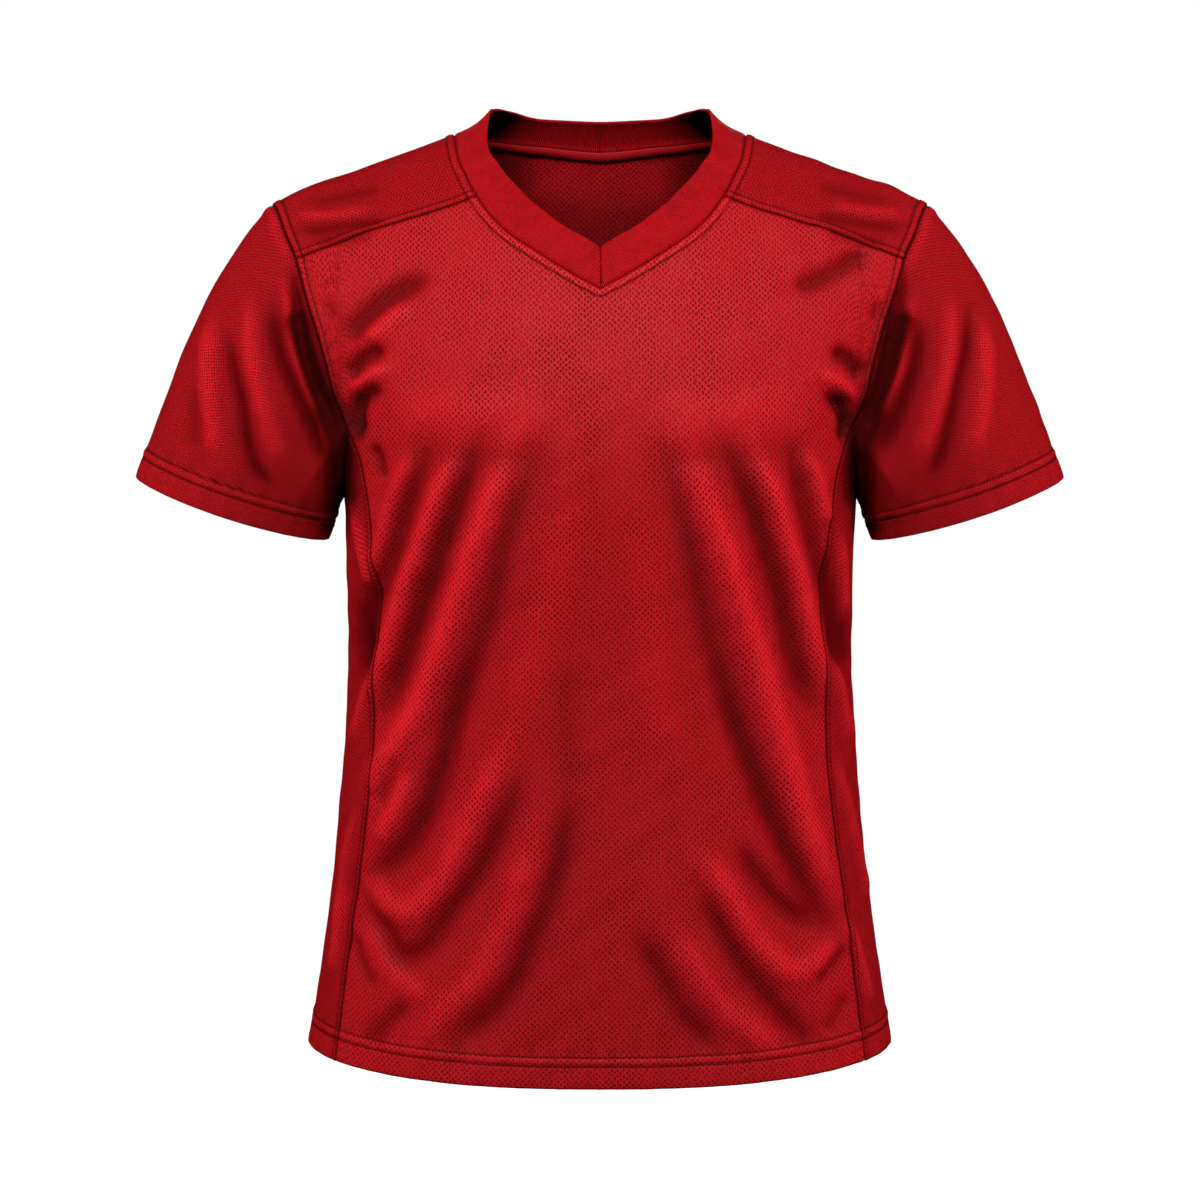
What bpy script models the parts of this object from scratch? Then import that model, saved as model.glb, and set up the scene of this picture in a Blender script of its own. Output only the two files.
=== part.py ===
"""A short-sleeved football jersey, filled out as if worn, as one closed cloth wall per cut piece.

Metres, +Z up, the front faces -Y and the wearer's left arm is at +X. The origin lies between the
shoulders, level with the shoulder line where the collar starts, so the garment hangs below it.

The body is one smooth surface. A point on it is named in one of two ways:
  (x, height)  a side of the body (FRONT or BACK) at a distance from the middle and a height
  (x, turn)    near the shoulder line: turn is the angle round the shoulder, 0 on its ridge
Each panel is a grid between four seam curves, and panels that meet share their seam's points.
"""
import bpy
import numpy as np

NAME = "football_jersey"

# Cloth
PANEL_WALL = 0.0018          # mesh and satin panels
RIB_WALL = 0.0030            # doubled rib of the collar
TAPE_WALL = 0.0012           # tape inside the back of the neck
SEAM_GAP = 0.0003            # clear distance between two pieces at a seam
TAPE_TOP, TAPE_REACH = 0.0008, 0.0090   # the tape's edges, below the collar's seam
TAPE_STAND = 0.0010          # the tape's clear distance from the back panel
WELD = 1e-6                  # points closer than this are the same point of a seam
MITRE_LIMIT = 0.6            # keeps the wall's inner edge short where pieces meet sharply
RIB_ROUND = 0.4              # how far the collar's fold edge bulges, in walls
SEAM_DETAIL = 40             # points for each row of a table when a seam's length is measured

# Cells along each stretch of seam, shared by the pieces that meet there
YOKE_CELLS = 9               # collar to armhole
YOKE_AHEAD, YOKE_BEHIND = 4, 2   # front yoke seam to the shoulder ridge, ridge to back yoke seam
NECK_FRONT_CELLS = 6         # yoke to the centre front
NECK_BACK_CELLS = 6          # yoke to the centre back
ARMHOLE_CELLS = 10           # yoke to the side panel
SIDE_CELLS = 30              # armhole to hem
SIDE_ACROSS = 6              # width of a side panel
SLEEVE_ROWS = 12             # armhole to cuff
COLLAR_ROWS = 3              # seam to fold edge

FRONT, BACK = -1, 1          # sign of Y on each side of the body

SQUARENESS = 2.35            # 2 would make the body's section an ellipse
SHOULDER_FALL = {FRONT: 0.300, BACK: 0.183}   # height over which the shoulder rounds to full depth
NECK_HALF = 0.118            # shoulder line starts here
NECK_RISE = 0.0455           # the surface's rise from there to the middle of the neck
BACK_YOKE_TURN = 11.5        # the back yoke seam, in degrees behind the shoulder ridge
UNDERARM = -0.2876           # height of the armhole's lowest point
UNDERARM_SQUARENESS = 2.2    # 2 would make the underarm a parabola
UNDERARM_EVEN = 0.25         # widens its middle cells, which lie level
HEM_SIDE, HEM_DIP = -0.7420, -0.0122
HEM_SQUARENESS = 2.6

# Sections of the body:  height, half width, front depth, back depth
SECTIONS = (
    (-0.7700, 0.2480, 0.1290, 0.1240),
    (-0.7311, 0.2395, 0.1270, 0.1215),
    (-0.6700, 0.2298, 0.1240, 0.1170),
    (-0.6093, 0.2210, 0.1210, 0.1130),
    (-0.5490, 0.2147, 0.1190, 0.1090),
    (-0.4890, 0.2096, 0.1190, 0.1080),
    (-0.4400, 0.2065, 0.1210, 0.1090),
    (-0.3895, 0.2063, 0.1250, 0.1130),
    (-0.3300, 0.2072, 0.1330, 0.1210),
    (-0.2876, 0.2090, 0.1370, 0.1265),
    (-0.2620, 0.2135, 0.1380, 0.1290),
    (-0.2360, 0.2200, 0.1375, 0.1305),
    (-0.2000, 0.2340, 0.1350, 0.1320),
    (-0.1500, 0.2560, 0.1280, 0.1320),
    (-0.1000, 0.2760, 0.1180, 0.1300),
    (-0.0500, 0.2930, 0.1080, 0.1270),
    (0.0400, 0.3100, 0.1000, 0.1250),
)

# Shoulder line:  distance from the middle, height
SHOULDER = (
    (0.118, 0.0000),
    (0.139, -0.0080),
    (0.178, -0.0219),
    (0.217, -0.0351),
    (0.236, -0.0414),
    (0.255, -0.0509),
    (0.275, -0.0620),
)

YOKE_ROW = 5                 # row of COLLAR_FRONT where the front yoke seam starts

# Collar, centre front to shoulder:  seam x, seam height, fold edge x, fold edge height
COLLAR_FRONT = (
    (0.0000, -0.1230, 0.0000, -0.0909),
    (0.0206, -0.1118, 0.0110, -0.0840),
    (0.0448, -0.0971, 0.0310, -0.0727),
    (0.0692, -0.0815, 0.0520, -0.0565),
    (0.0852, -0.0670, 0.0645, -0.0445),
    (0.0974, -0.0507, 0.0720, -0.0355),
    (0.1060, -0.0348, 0.0795, -0.0245),
    (0.1140, -0.0165, 0.0855, -0.0080),
)

# Collar, over the shoulder to the centre back:  seam x, seam turn, fold edge x, fold edge turn
COLLAR_BACK = (
    (0.1180, 0.0, 0.0892, 0.0),
    (0.1150, 11.5, 0.0870, 9.0),
    (0.1010, 25.0, 0.0730, 19.0),
    (0.0600, 39.5, 0.0480, 29.0),
    (0.0000, 45.5, 0.0000, 34.5),
)

# Armhole over the shoulder, front yoke seam to back yoke seam:  x, turn
ARMHOLE_TOP = (
    (0.2428, -35.5),
    (0.2545, -23.0),
    (0.2655, 0.0),
    (0.2635, BACK_YOKE_TURN),
)

# Armhole below the yoke:  x and height on the front, x and height on the back
ARMHOLE = (
    (0.2361, -0.1255, 0.2540, -0.0900),
    (0.2262, -0.1550, 0.2415, -0.1250),
    (0.2180, -0.1830, 0.2300, -0.1620),
    (0.2115, -0.2100, 0.2185, -0.2000),
    (0.2014, -0.2350, 0.2020, -0.2350),
)

# Front yoke seam between the armhole and the collar:  x, height
YOKE_SEAM = (
    (0.2129, -0.0885),
    (0.1902, -0.0794),
    (0.1580, -0.0702),
    (0.1261, -0.0608),
)

# Side seams, armhole to hem:  height, x on the front, x on the back
SIDE_SEAM = (
    (-0.2350, 0.2014, 0.2020),
    (-0.2562, 0.1915, 0.1935),
    (-0.2951, 0.1845, 0.1860),
    (-0.3406, 0.1805, 0.1810),
    (-0.3900, 0.1765, 0.1775),
    (-0.4360, 0.1808, 0.1780),
    (-0.5004, 0.1824, 0.1815),
    (-0.5596, 0.1895, 0.1870),
    (-0.6310, 0.1999, 0.1960),
    (-0.7405, 0.2143, 0.2110),
)

# Cuff: its centre, half width and half depth, and the lean of its plane outward from level
CUFF_X, CUFF_HEIGHT = 0.3003, -0.3020
CUFF_HALF, CUFF_DEPTH, CUFF_LEAN = 0.0822, 0.0600, 18.3
CUFF_BOW = 0.0035            # the hem's front and back hang this much lower

# Direction in which the sleeve leaves the armhole:  place round the loop, x, y, z
# The place is 0 on the shoulder, 0.25 in front, 0.5 under the arm and 0.75 behind.
SLEEVE_START = (
    (0.000, 0.70, 0.00, -0.71),
    (0.125, 0.82, -0.22, -0.53),
    (0.250, 0.74, -0.36, -0.60),
    (0.375, 0.50, -0.36, -0.86),
    (0.500, 0.30, 0.00, -0.95),
    (0.625, 0.50, 0.36, -0.86),
    (0.750, 0.74, 0.36, -0.60),
    (0.875, 0.82, 0.22, -0.53),
    (1.000, 0.70, 0.00, -0.71),
)
SLEEVE_END = (0.37, 0.0, -0.93)

# Largest folds. Each is a soft ridge (rise above 0) or trough along a curve through three places:
# x and height where it begins, at its middle and where it ends, then its width and rise.
FRONT_FOLDS = (
    (-0.152, -0.259, -0.173, -0.300, -0.186, -0.333, 0.011, 0.0025),
    (-0.135, -0.253, -0.156, -0.303, -0.174, -0.355, 0.011, -0.0035),
    (-0.118, -0.258, -0.157, -0.348, -0.187, -0.438, 0.012, 0.0035),
    (-0.095, -0.249, -0.136, -0.345, -0.174, -0.457, 0.012, -0.0055),
    (-0.081, -0.257, -0.122, -0.380, -0.172, -0.485, 0.013, 0.0050),
    (-0.058, -0.252, -0.102, -0.415, -0.179, -0.586, 0.014, -0.0045),
    (-0.068, -0.439, -0.112, -0.554, -0.185, -0.600, 0.015, 0.0042),
    (-0.063, -0.519, -0.116, -0.616, -0.195, -0.604, 0.014, -0.0042),
    (-0.051, -0.534, -0.090, -0.645, -0.161, -0.717, 0.015, 0.0035),
    (-0.034, -0.562, -0.068, -0.665, -0.126, -0.717, 0.013, -0.0030),
    (-0.191, -0.629, -0.173, -0.655, -0.150, -0.670, 0.011, 0.0025),
    (-0.140, -0.684, -0.160, -0.698, -0.184, -0.710, 0.011, -0.0028),
    (0.097, -0.241, 0.141, -0.345, 0.175, -0.454, 0.012, -0.0050),
    (0.128, -0.250, 0.158, -0.322, 0.183, -0.408, 0.012, 0.0032),
    (0.151, -0.250, 0.170, -0.305, 0.186, -0.362, 0.011, -0.0030),
    (0.072, -0.252, 0.124, -0.392, 0.187, -0.585, 0.013, 0.0050),
    (0.051, -0.246, 0.098, -0.430, 0.184, -0.625, 0.014, -0.0045),
    (0.090, -0.578, 0.131, -0.634, 0.184, -0.648, 0.014, 0.0038),
    (0.090, -0.609, 0.128, -0.665, 0.175, -0.713, 0.013, -0.0038),
    (0.067, -0.645, 0.100, -0.682, 0.146, -0.716, 0.014, 0.0032),
    (0.050, -0.640, 0.070, -0.685, 0.100, -0.716, 0.012, -0.0028),
    (0.199, -0.654, 0.188, -0.664, 0.172, -0.675, 0.011, -0.0028),
    (-0.153, -0.119, -0.185, -0.136, -0.210, -0.165, 0.013, -0.0032),
    (-0.176, -0.171, -0.195, -0.181, -0.212, -0.201, 0.011, -0.0025),
    (-0.179, -0.197, -0.192, -0.217, -0.199, -0.246, 0.011, -0.0028),
    (0.162, -0.117, 0.185, -0.131, 0.212, -0.160, 0.013, -0.0030),
    (0.180, -0.170, 0.195, -0.180, 0.212, -0.201, 0.011, -0.0025),
    (0.184, -0.200, 0.194, -0.221, 0.198, -0.248, 0.011, -0.0028),
    (-0.260, -0.112, -0.251, -0.160, -0.232, -0.222, 0.010, 0.0030),
    (-0.271, -0.098, -0.266, -0.158, -0.240, -0.245, 0.011, -0.0045),
    (-0.284, -0.135, -0.279, -0.196, -0.258, -0.268, 0.011, 0.0030),
    (-0.299, -0.150, -0.291, -0.212, -0.272, -0.286, 0.011, -0.0030),
    (0.260, -0.112, 0.251, -0.160, 0.232, -0.222, 0.010, 0.0030),
    (0.268, -0.118, 0.262, -0.165, 0.240, -0.245, 0.011, -0.0045),
    (0.283, -0.130, 0.277, -0.190, 0.256, -0.262, 0.011, 0.0030),
    (0.299, -0.148, 0.292, -0.212, 0.273, -0.286, 0.011, -0.0032),
)
BACK_FOLDS = (
    (-0.190, -0.285, -0.150, -0.340, -0.095, -0.430, 0.014, -0.0050),
    (-0.165, -0.270, -0.120, -0.345, -0.065, -0.450, 0.014, 0.0040),
    (-0.185, -0.330, -0.160, -0.390, -0.115, -0.480, 0.013, 0.0038),
    (-0.172, -0.410, -0.140, -0.500, -0.085, -0.600, 0.014, -0.0042),
    (-0.180, -0.480, -0.150, -0.560, -0.105, -0.650, 0.014, 0.0038),
    (-0.185, -0.570, -0.150, -0.635, -0.105, -0.700, 0.013, -0.0035),
    (0.185, -0.280, 0.150, -0.350, 0.090, -0.440, 0.014, -0.0050),
    (0.165, -0.265, 0.115, -0.350, 0.060, -0.440, 0.014, 0.0040),
    (0.188, -0.345, 0.160, -0.410, 0.110, -0.500, 0.013, 0.0038),
    (0.172, -0.430, 0.142, -0.510, 0.095, -0.610, 0.014, -0.0042),
    (0.182, -0.505, 0.152, -0.580, 0.110, -0.665, 0.014, 0.0038),
    (0.188, -0.600, 0.155, -0.655, 0.120, -0.712, 0.013, -0.0035),
    (-0.030, -0.300, -0.036, -0.450, -0.030, -0.600, 0.018, -0.0028),
    (0.028, -0.330, 0.036, -0.480, 0.024, -0.640, 0.018, -0.0028),
    (-0.262, -0.105, -0.254, -0.165, -0.232, -0.240, 0.011, -0.0040),
    (-0.285, -0.130, -0.278, -0.200, -0.256, -0.270, 0.012, 0.0032),
    (0.264, -0.110, 0.256, -0.170, 0.234, -0.240, 0.011, -0.0040),
    (0.286, -0.135, 0.280, -0.205, 0.258, -0.272, 0.012, 0.0032),
)
FOLD_STEPS = 16              # points along a fold's curve
FOLD_EASE = 0.030            # folds die out this close to the middle of the garment's side
FOLD_BLUNT = 0.12            # share of its length at each end where a fold's rise stays the same
FOLD_FULLNESS = 0.7          # below 1 a fold keeps its rise for longer

# Colours (linear) and finish:  red, green, blue, roughness
FINISH = {
    "mesh": (0.235, 0.0045, 0.0075, 0.62),
    "satin": (0.275, 0.0055, 0.0090, 0.48),
    "rib": (0.250, 0.0060, 0.0095, 0.70),
    "tape": (0.215, 0.0045, 0.0070, 0.66),
}


# ---- curves -------------------------------------------------------------------------------------

def column(table, *places):
    """The named columns of a table as one array."""
    return np.array(table, float)[:, list(places)]


def curve_through(at, stops, values):
    """Smooth curve through values at rising stops: a cubic with the slopes of its neighbours."""
    stops, values = np.asarray(stops, float), np.asarray(values, float)
    slopes = np.gradient(values, stops, axis=0)
    at = np.clip(np.asarray(at, float), stops[0], stops[-1])
    low = np.clip(np.searchsorted(stops, at) - 1, 0, len(stops) - 2)
    span = stops[low + 1] - stops[low]
    part = (at - stops[low]) / span
    if values.ndim == 2:
        span, part = span[..., None], part[..., None]
    rest = 1 - part
    return (values[low] * rest**2 * (1 + 2 * part) + values[low + 1] * part**2 * (3 - 2 * part)
            + span * part * rest * (slopes[low] * rest - slopes[low + 1] * part))


def stations(points, cells):
    """cells + 1 places at equal distances along the smooth curve through points."""
    points = np.asarray(points, float)
    chords = np.r_[0, np.cumsum(np.linalg.norm(np.diff(points, axis=0), axis=1))]
    fine = curve_through(np.linspace(0, chords[-1], SEAM_DETAIL * len(points)), chords, points)
    length = np.r_[0, np.cumsum(np.linalg.norm(np.diff(fine, axis=0), axis=1))]
    even = np.linspace(0, length[-1], cells + 1)
    return np.stack([np.interp(even, length, fine[:, k]) for k in range(points.shape[1])], 1)


def between(top, bottom, left, right):
    """Grid of points between four edges: the two straight blends less the corners' blend."""
    u = np.linspace(0, 1, len(top))[None, :, None]
    v = np.linspace(0, 1, len(left))[:, None, None]
    across = (1 - u) * left[:, None] + u * right[:, None]
    down = (1 - v) * top[None] + v * bottom[None]
    corners = ((1 - v) * ((1 - u) * top[0] + u * top[-1])
               + v * ((1 - u) * bottom[0] + u * bottom[-1]))
    return across + down - corners


# ---- the body's surface -------------------------------------------------------------------------

def section(height, which):
    rows = column(SECTIONS, 0, 1, 2, 3)
    return curve_through(height, rows[:, 0], rows[:, which])


def half_width(height):
    return section(height, 1)


def depth(height, side):
    """Full depth at a height, where side may mix FRONT and BACK."""
    return np.where(np.asarray(side) < 0, section(height, 2), section(height, 3))


def ridge(x):
    """Height of the shoulder line, with a smooth rise towards the neck's middle."""
    away = np.abs(x)
    rows = column(SHOULDER, 0, 1)
    neck = NECK_RISE * (1 - (away / NECK_HALF) ** 2)
    return np.where(away < NECK_HALF, neck, curve_through(away, rows[:, 0], rows[:, 1]))


def fall(side):
    return np.where(np.asarray(side) < 0, SHOULDER_FALL[FRONT], SHOULDER_FALL[BACK])


def height_at(x, turn):
    """Height of the point that lies turn degrees round the shoulder (front below 0)."""
    return ridge(x) - fall(turn) * (1 - np.cos(np.radians(turn)))


def to_turn(x, height, side):
    """Angle round the shoulder of a point given by x and height, 90 where it is full depth."""
    drop = np.clip((ridge(x) - height) / fall(side), 0, 1)
    return np.sign(side) * np.degrees(np.arccos(1 - drop))


def flatness(x, height):
    """Share of the full depth that the body's section leaves at a distance from the middle."""
    share = np.clip(np.abs(x) / half_width(height), 0, 1)
    return (1 - share**SQUARENESS) ** (1 / SQUARENESS)


def on_shoulder(x, turn):
    """Point of the body by x and turn."""
    height = height_at(x, turn)
    y = depth(height, turn) * flatness(x, height) * np.sin(np.radians(turn))
    return np.stack([x, y, height], -1)


def on_body(x, height, side):
    """Point of the body by x and height."""
    turn = to_turn(x, height, side)
    y = depth(height, side) * flatness(x, height) * np.sin(np.radians(turn))
    return np.stack([x, y, height], -1)


def on_side(angle, height):
    """Point of the +X side by height and angle: -90 is the middle front, 0 the side, 90 the back."""
    x = half_width(height) * np.cos(np.radians(angle)) ** (2 / SQUARENESS)
    turn = to_turn(x, height, angle)
    y = depth(height, angle) * flatness(x, height) * np.sin(np.radians(turn))
    return np.stack([x, y, height], -1)


def side_angle(x, height, side):
    """Angle on the side surface of a seam point given by x and height."""
    share = np.clip(np.abs(x) / half_width(height), 0, 1)
    return side * np.degrees(np.arccos(share ** (SQUARENESS / 2)))


# ---- seams of the +X half -----------------------------------------------------------------------

def hem(x):
    """The hem dips towards the middle of the front and of the back."""
    return HEM_SIDE + HEM_DIP * (1 - (np.abs(x) / half_width(HEM_SIDE)) ** HEM_SQUARENESS)


def side_seam(side):
    """(x, height) down the side seam, armhole to hem."""
    line = stations(column(SIDE_SEAM, 2 if side == BACK else 1, 0), SIDE_CELLS)
    line[-1, 1] = hem(line[-1, 0])
    return line


def armhole_top():
    """(x, turn) over the shoulder, front yoke seam to back yoke seam."""
    rows = column(ARMHOLE_TOP, 0, 1)
    steps = np.r_[np.linspace(0, 2, YOKE_AHEAD + 1), np.linspace(2, 3, YOKE_BEHIND + 1)[1:]]
    return curve_through(steps, np.arange(len(rows)), rows)


def armhole_edge(side):
    """(x, height) down the armhole, yoke to side panel."""
    x, turn = armhole_top()[0 if side == FRONT else -1]
    columns = (2, 3) if side == BACK else (0, 1)
    return stations(np.r_[[(x, height_at(x, turn))], column(ARMHOLE, *columns)], ARMHOLE_CELLS)


def collar_line(which):
    """(x, turn) round half the collar, centre front to centre back: 0 its seam, 1 its fold edge.

    The stations are even between the centre front, the front yoke seam, the shoulder ridge, the
    back yoke seam and the centre back.
    """
    front = column(COLLAR_FRONT, 2 * which, 2 * which + 1)
    ahead = np.c_[front[:, 0], to_turn(front[:, 0], front[:, 1], FRONT)]
    line = np.r_[ahead, column(COLLAR_BACK, 2 * which, 2 * which + 1)]
    ridge_row = len(front)
    corners = (0, YOKE_ROW, ridge_row, ridge_row + 1, len(line) - 1)
    counts = (NECK_FRONT_CELLS, YOKE_AHEAD, YOKE_BEHIND, NECK_BACK_CELLS)
    steps = [np.linspace(corners[k], corners[k + 1], counts[k] + 1)[k > 0:] for k in range(4)]
    beyond = line[-2] * (-1, 1)    # makes the line level at the centre back
    return curve_through(np.concatenate(steps), np.arange(len(line) + 1), np.r_[line, [beyond]])


def yoke_seam():
    """(x, height) along the front yoke seam, armhole to neck."""
    x, turn = armhole_top()[0]
    neck_x, neck_turn = collar_line(0)[NECK_FRONT_CELLS]
    ends = (x, height_at(x, turn)), (neck_x, height_at(neck_x, neck_turn))
    return stations(np.r_[[ends[0]], column(YOKE_SEAM, 0, 1), [ends[1]]], YOKE_CELLS)


def back_yoke_seam():
    """(x, turn) along the back yoke seam, armhole to neck."""
    ends = armhole_top()[-1], collar_line(0)[NECK_FRONT_CELLS + YOKE_AHEAD + YOKE_BEHIND]
    return np.linspace(ends[0], ends[1], YOKE_CELLS + 1)


# ---- base grids ---------------------------------------------------------------------------------
# Seen from outside, a grid's rows run down and its columns run to the right.

def other_hand(grid):
    """The mirror image, at -X, of a grid of the +X half."""
    return grid[:, ::-1] * np.array((-1, 1, 1))


def body_panel(side):
    """Front or back: yoke seams and neck above, armholes and side seams beside, hem below."""
    neck = collar_line(0)
    if side == FRONT:
        neck = neck[:NECK_FRONT_CELLS + 1]
        yoke = yoke_seam()
    else:
        neck = neck[:-NECK_BACK_CELLS - 2:-1]
        yoke = back_yoke_seam()
        yoke = np.c_[yoke[:, 0], height_at(yoke[:, 0], yoke[:, 1])]
    neck = np.c_[neck[:, 0], height_at(neck[:, 0], neck[:, 1])]
    half_top = np.r_[neck[:-1], yoke[::-1]]
    right = np.r_[armhole_edge(side)[:-1], side_seam(side)]
    flip = np.array((-1, 1))
    top = np.r_[half_top[:0:-1] * flip, half_top]
    x = np.linspace(-right[-1, 0], right[-1, 0], len(top))
    grid = between(top, np.c_[x, hem(x)], right * flip, right)
    points = on_body(grid[..., 0], grid[..., 1], side)
    return points if side == FRONT else points[:, ::-1]


def side_panel():
    """The +X side: underarm above, the two side seams beside, hem below."""
    edges = []
    for side in (FRONT, BACK):
        line = side_seam(side)
        edges.append(np.c_[side_angle(line[:, 0], line[:, 1], side), line[:, 1]])
    front, back = edges
    share = np.linspace(-1, 1, SIDE_ACROSS + 1)
    share = share * (1 + UNDERARM_EVEN * (1 - share**2))
    reach = np.where(share < 0, -front[0, 0], back[0, 0])
    top = np.c_[share * reach,
                UNDERARM + (front[0, 1] - UNDERARM) * np.abs(share) ** UNDERARM_SQUARENESS]
    angle = np.linspace(front[-1, 0], back[-1, 0], len(share))
    level = hem(on_side(angle, np.full(len(angle), HEM_SIDE))[:, 0])
    level[0], level[-1] = front[-1, 1], back[-1, 1]
    grid = between(top, np.c_[angle, level], front, back)
    return on_side(grid[..., 0], grid[..., 1])


def yoke_panel():
    """The +X yoke: back seam above, front seam below, neck and armhole beside."""
    front = yoke_seam()[::-1]
    front = np.c_[front[:, 0], to_turn(front[:, 0], front[:, 1], FRONT)]
    neck = collar_line(0)[NECK_FRONT_CELLS:NECK_FRONT_CELLS + YOKE_AHEAD + YOKE_BEHIND + 1]
    grid = between(back_yoke_seam()[::-1], front, neck[::-1], armhole_top()[::-1])
    return on_shoulder(grid[..., 0], grid[..., 1])


def armhole_loop():
    """The +X armhole as a closed loop of points: underarm, front, shoulder, back, underarm."""
    under = side_panel()[0]
    half = SIDE_ACROSS // 2
    front = armhole_edge(FRONT)
    back = armhole_edge(BACK)
    top = armhole_top()
    return np.concatenate((
        under[half:0:-1],
        on_body(front[:, 0], front[:, 1], FRONT)[:0:-1],
        on_shoulder(top[:, 0], top[:, 1])[:-1],
        on_body(back[:, 0], back[:, 1], BACK)[:-1],
        under[:half - 1:-1],
    ))


def sleeve():
    """The +X sleeve: each place of the armhole runs along a cubic to its place on the oval cuff."""
    loop = armhole_loop()
    steps = np.r_[0, np.cumsum(np.linalg.norm(np.diff(loop, axis=0), axis=1))]
    shoulder = SIDE_ACROSS // 2 + ARMHOLE_CELLS + YOKE_AHEAD
    place = 0.5 - np.interp(steps, (0, steps[shoulder], steps[-1]), (0, 0.5, 1))
    lean, round_cuff = np.radians(CUFF_LEAN), 2 * np.pi * place
    out, ahead = CUFF_HALF * np.cos(round_cuff), CUFF_DEPTH * np.sin(round_cuff)
    cuff = np.stack([CUFF_X + out * np.cos(lean), -ahead,
                     CUFF_HEIGHT + out * np.sin(lean) - CUFF_BOW * np.sin(round_cuff) ** 2], 1)
    starts = column(SLEEVE_START, 0, 1, 2, 3)
    leave = unit(curve_through(place % 1, starts[:, 0], starts[:, 1:]))
    reach = np.linalg.norm(cuff - loop, axis=1, keepdims=True)
    t = np.linspace(0, 1, SLEEVE_ROWS + 1)[:, None, None]
    return (loop * (1 + 2 * t) * (1 - t) ** 2 + leave * reach * t * (1 - t) ** 2
            + cuff * t**2 * (3 - 2 * t) - np.array(SLEEVE_END) * reach * t**2 * (1 - t))


def collar():
    """Rib strip round the neck: fold edge above, seam below, its ends meeting at centre front."""
    half = [collar_line(which) for which in (1, 0)]
    edge, seam = (np.r_[line, line[-2::-1] * (-1, 1)] for line in half)
    share = np.linspace(0, 1, COLLAR_ROWS + 1)[:, None, None]
    grid = edge * (1 - share) + seam * share
    return on_shoulder(grid[..., 0], grid[..., 1])


# ---- folds --------------------------------------------------------------------------------------

def along(begin, middle, end, share):
    """Parabola that passes begin, middle and end at shares 0, 1/2 and 1."""
    share = share[:, None]
    return (begin * (1 - share) * (1 - 2 * share) + middle * 4 * share * (1 - share)
            + end * share * (2 * share - 1))


def fold_rise(points):
    """Rise of the cloth at each point: bells across the folds' curves, eased to 0 at their ends."""
    flat = points.reshape(-1, 3)
    place = flat[:, (0, 2)]
    rise = np.zeros(len(flat))
    share = np.linspace(0, 1, FOLD_STEPS + 1)
    for side, folds in ((FRONT, FRONT_FOLDS), (BACK, BACK_FOLDS)):
        ease = np.clip(side * flat[:, 1] / FOLD_EASE, 0, 1)
        ease = ease**2 * (3 - 2 * ease)
        for *places, width, height in folds:
            line = along(*np.reshape(places, (3, 2)), share)
            start, step = line[:-1], np.diff(line, axis=0)
            part = ((place[:, None] - start) * step).sum(2) / (step**2).sum(1)
            part = np.clip(part, 0, 1)
            away = np.linalg.norm(place[:, None] - start - part[..., None] * step, axis=2)
            nearest = away.argmin(1)
            row = np.arange(len(flat))
            reached = (nearest + part[row, nearest]) / FOLD_STEPS
            bell = np.exp(-(away[row, nearest] / width) ** 2)
            reached = np.clip(reached, FOLD_BLUNT, 1 - FOLD_BLUNT)
            taper = np.sin(np.pi * reached) ** FOLD_FULLNESS
            rise += ease * height * bell * taper
    return rise.reshape(points.shape[:-1])


# ---- walls --------------------------------------------------------------------------------------

def unit(vectors):
    return vectors / np.linalg.norm(vectors, axis=-1, keepdims=True)


def steps_along(grid, closed):
    """Change from cell to cell along the columns, round the join where the grid is a ring."""
    if closed:
        ring = np.concatenate((grid[:, -2:-1], grid, grid[:, 1:2]), axis=1)
        return (ring[:, 2:] - ring[:, :-2]) / 2
    return np.gradient(grid, axis=1)


def own_normals(grid, closed):
    return unit(np.cross(np.gradient(grid, axis=0), steps_along(grid, closed)))


def shared_normals(pieces):
    """Each piece's own normals, and its mitres: the step out of the cloth for a unit of wall.

    Wherever pieces share a point of a seam they have one common mitre, which leans between them
    and is longer the sharper they meet. Elsewhere the mitre is the piece's own normal.
    """
    own = [own_normals(piece["grid"], piece["closed"]) for piece in pieces]
    votes = []
    for piece, normals in zip(pieces, own):
        vote = np.concatenate((normals, np.ones_like(normals[..., :1])), axis=2)
        vote[:, -1] *= not piece["closed"]    # a ring's last column repeats its first
        votes.append(vote.reshape(-1, 4))
    points = np.concatenate([piece["grid"].reshape(-1, 3) for piece in pieces])
    place = np.unique(np.round(points / WELD).astype(int), axis=0, return_inverse=True)[1].ravel()
    total = np.zeros((place.max() + 1, 4))
    np.add.at(total, place, np.concatenate(votes))
    mean = total[:, :3] / total[:, 3:]
    spread = np.linalg.norm(mean, axis=1, keepdims=True)
    mitres = (mean / spread / np.maximum(spread, MITRE_LIMIT))[place]
    sizes = np.cumsum([normals.size // 3 for normals in own])[:-1]
    return own, [part.reshape(normals.shape) for part, normals in zip(np.split(mitres, sizes), own)]


def edge_pull(grid, mitres, closed):
    """Half a seam gap inward from each edge, along the cloth."""
    pull = np.zeros_like(grid)
    for row, sign in ((0, 1), (-1, -1)):
        tangent = steps_along(grid[[row]], closed)[0]
        pull[row] += sign * unit(np.cross(tangent, mitres[row])) * SEAM_GAP / 2
    if not closed:
        for side, sign in ((0, 1), (-1, -1)):
            tangent = np.gradient(grid[:, side], axis=0)
            pull[:, side] += sign * unit(np.cross(mitres[:, side], tangent)) * SEAM_GAP / 2
    return pull


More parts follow.
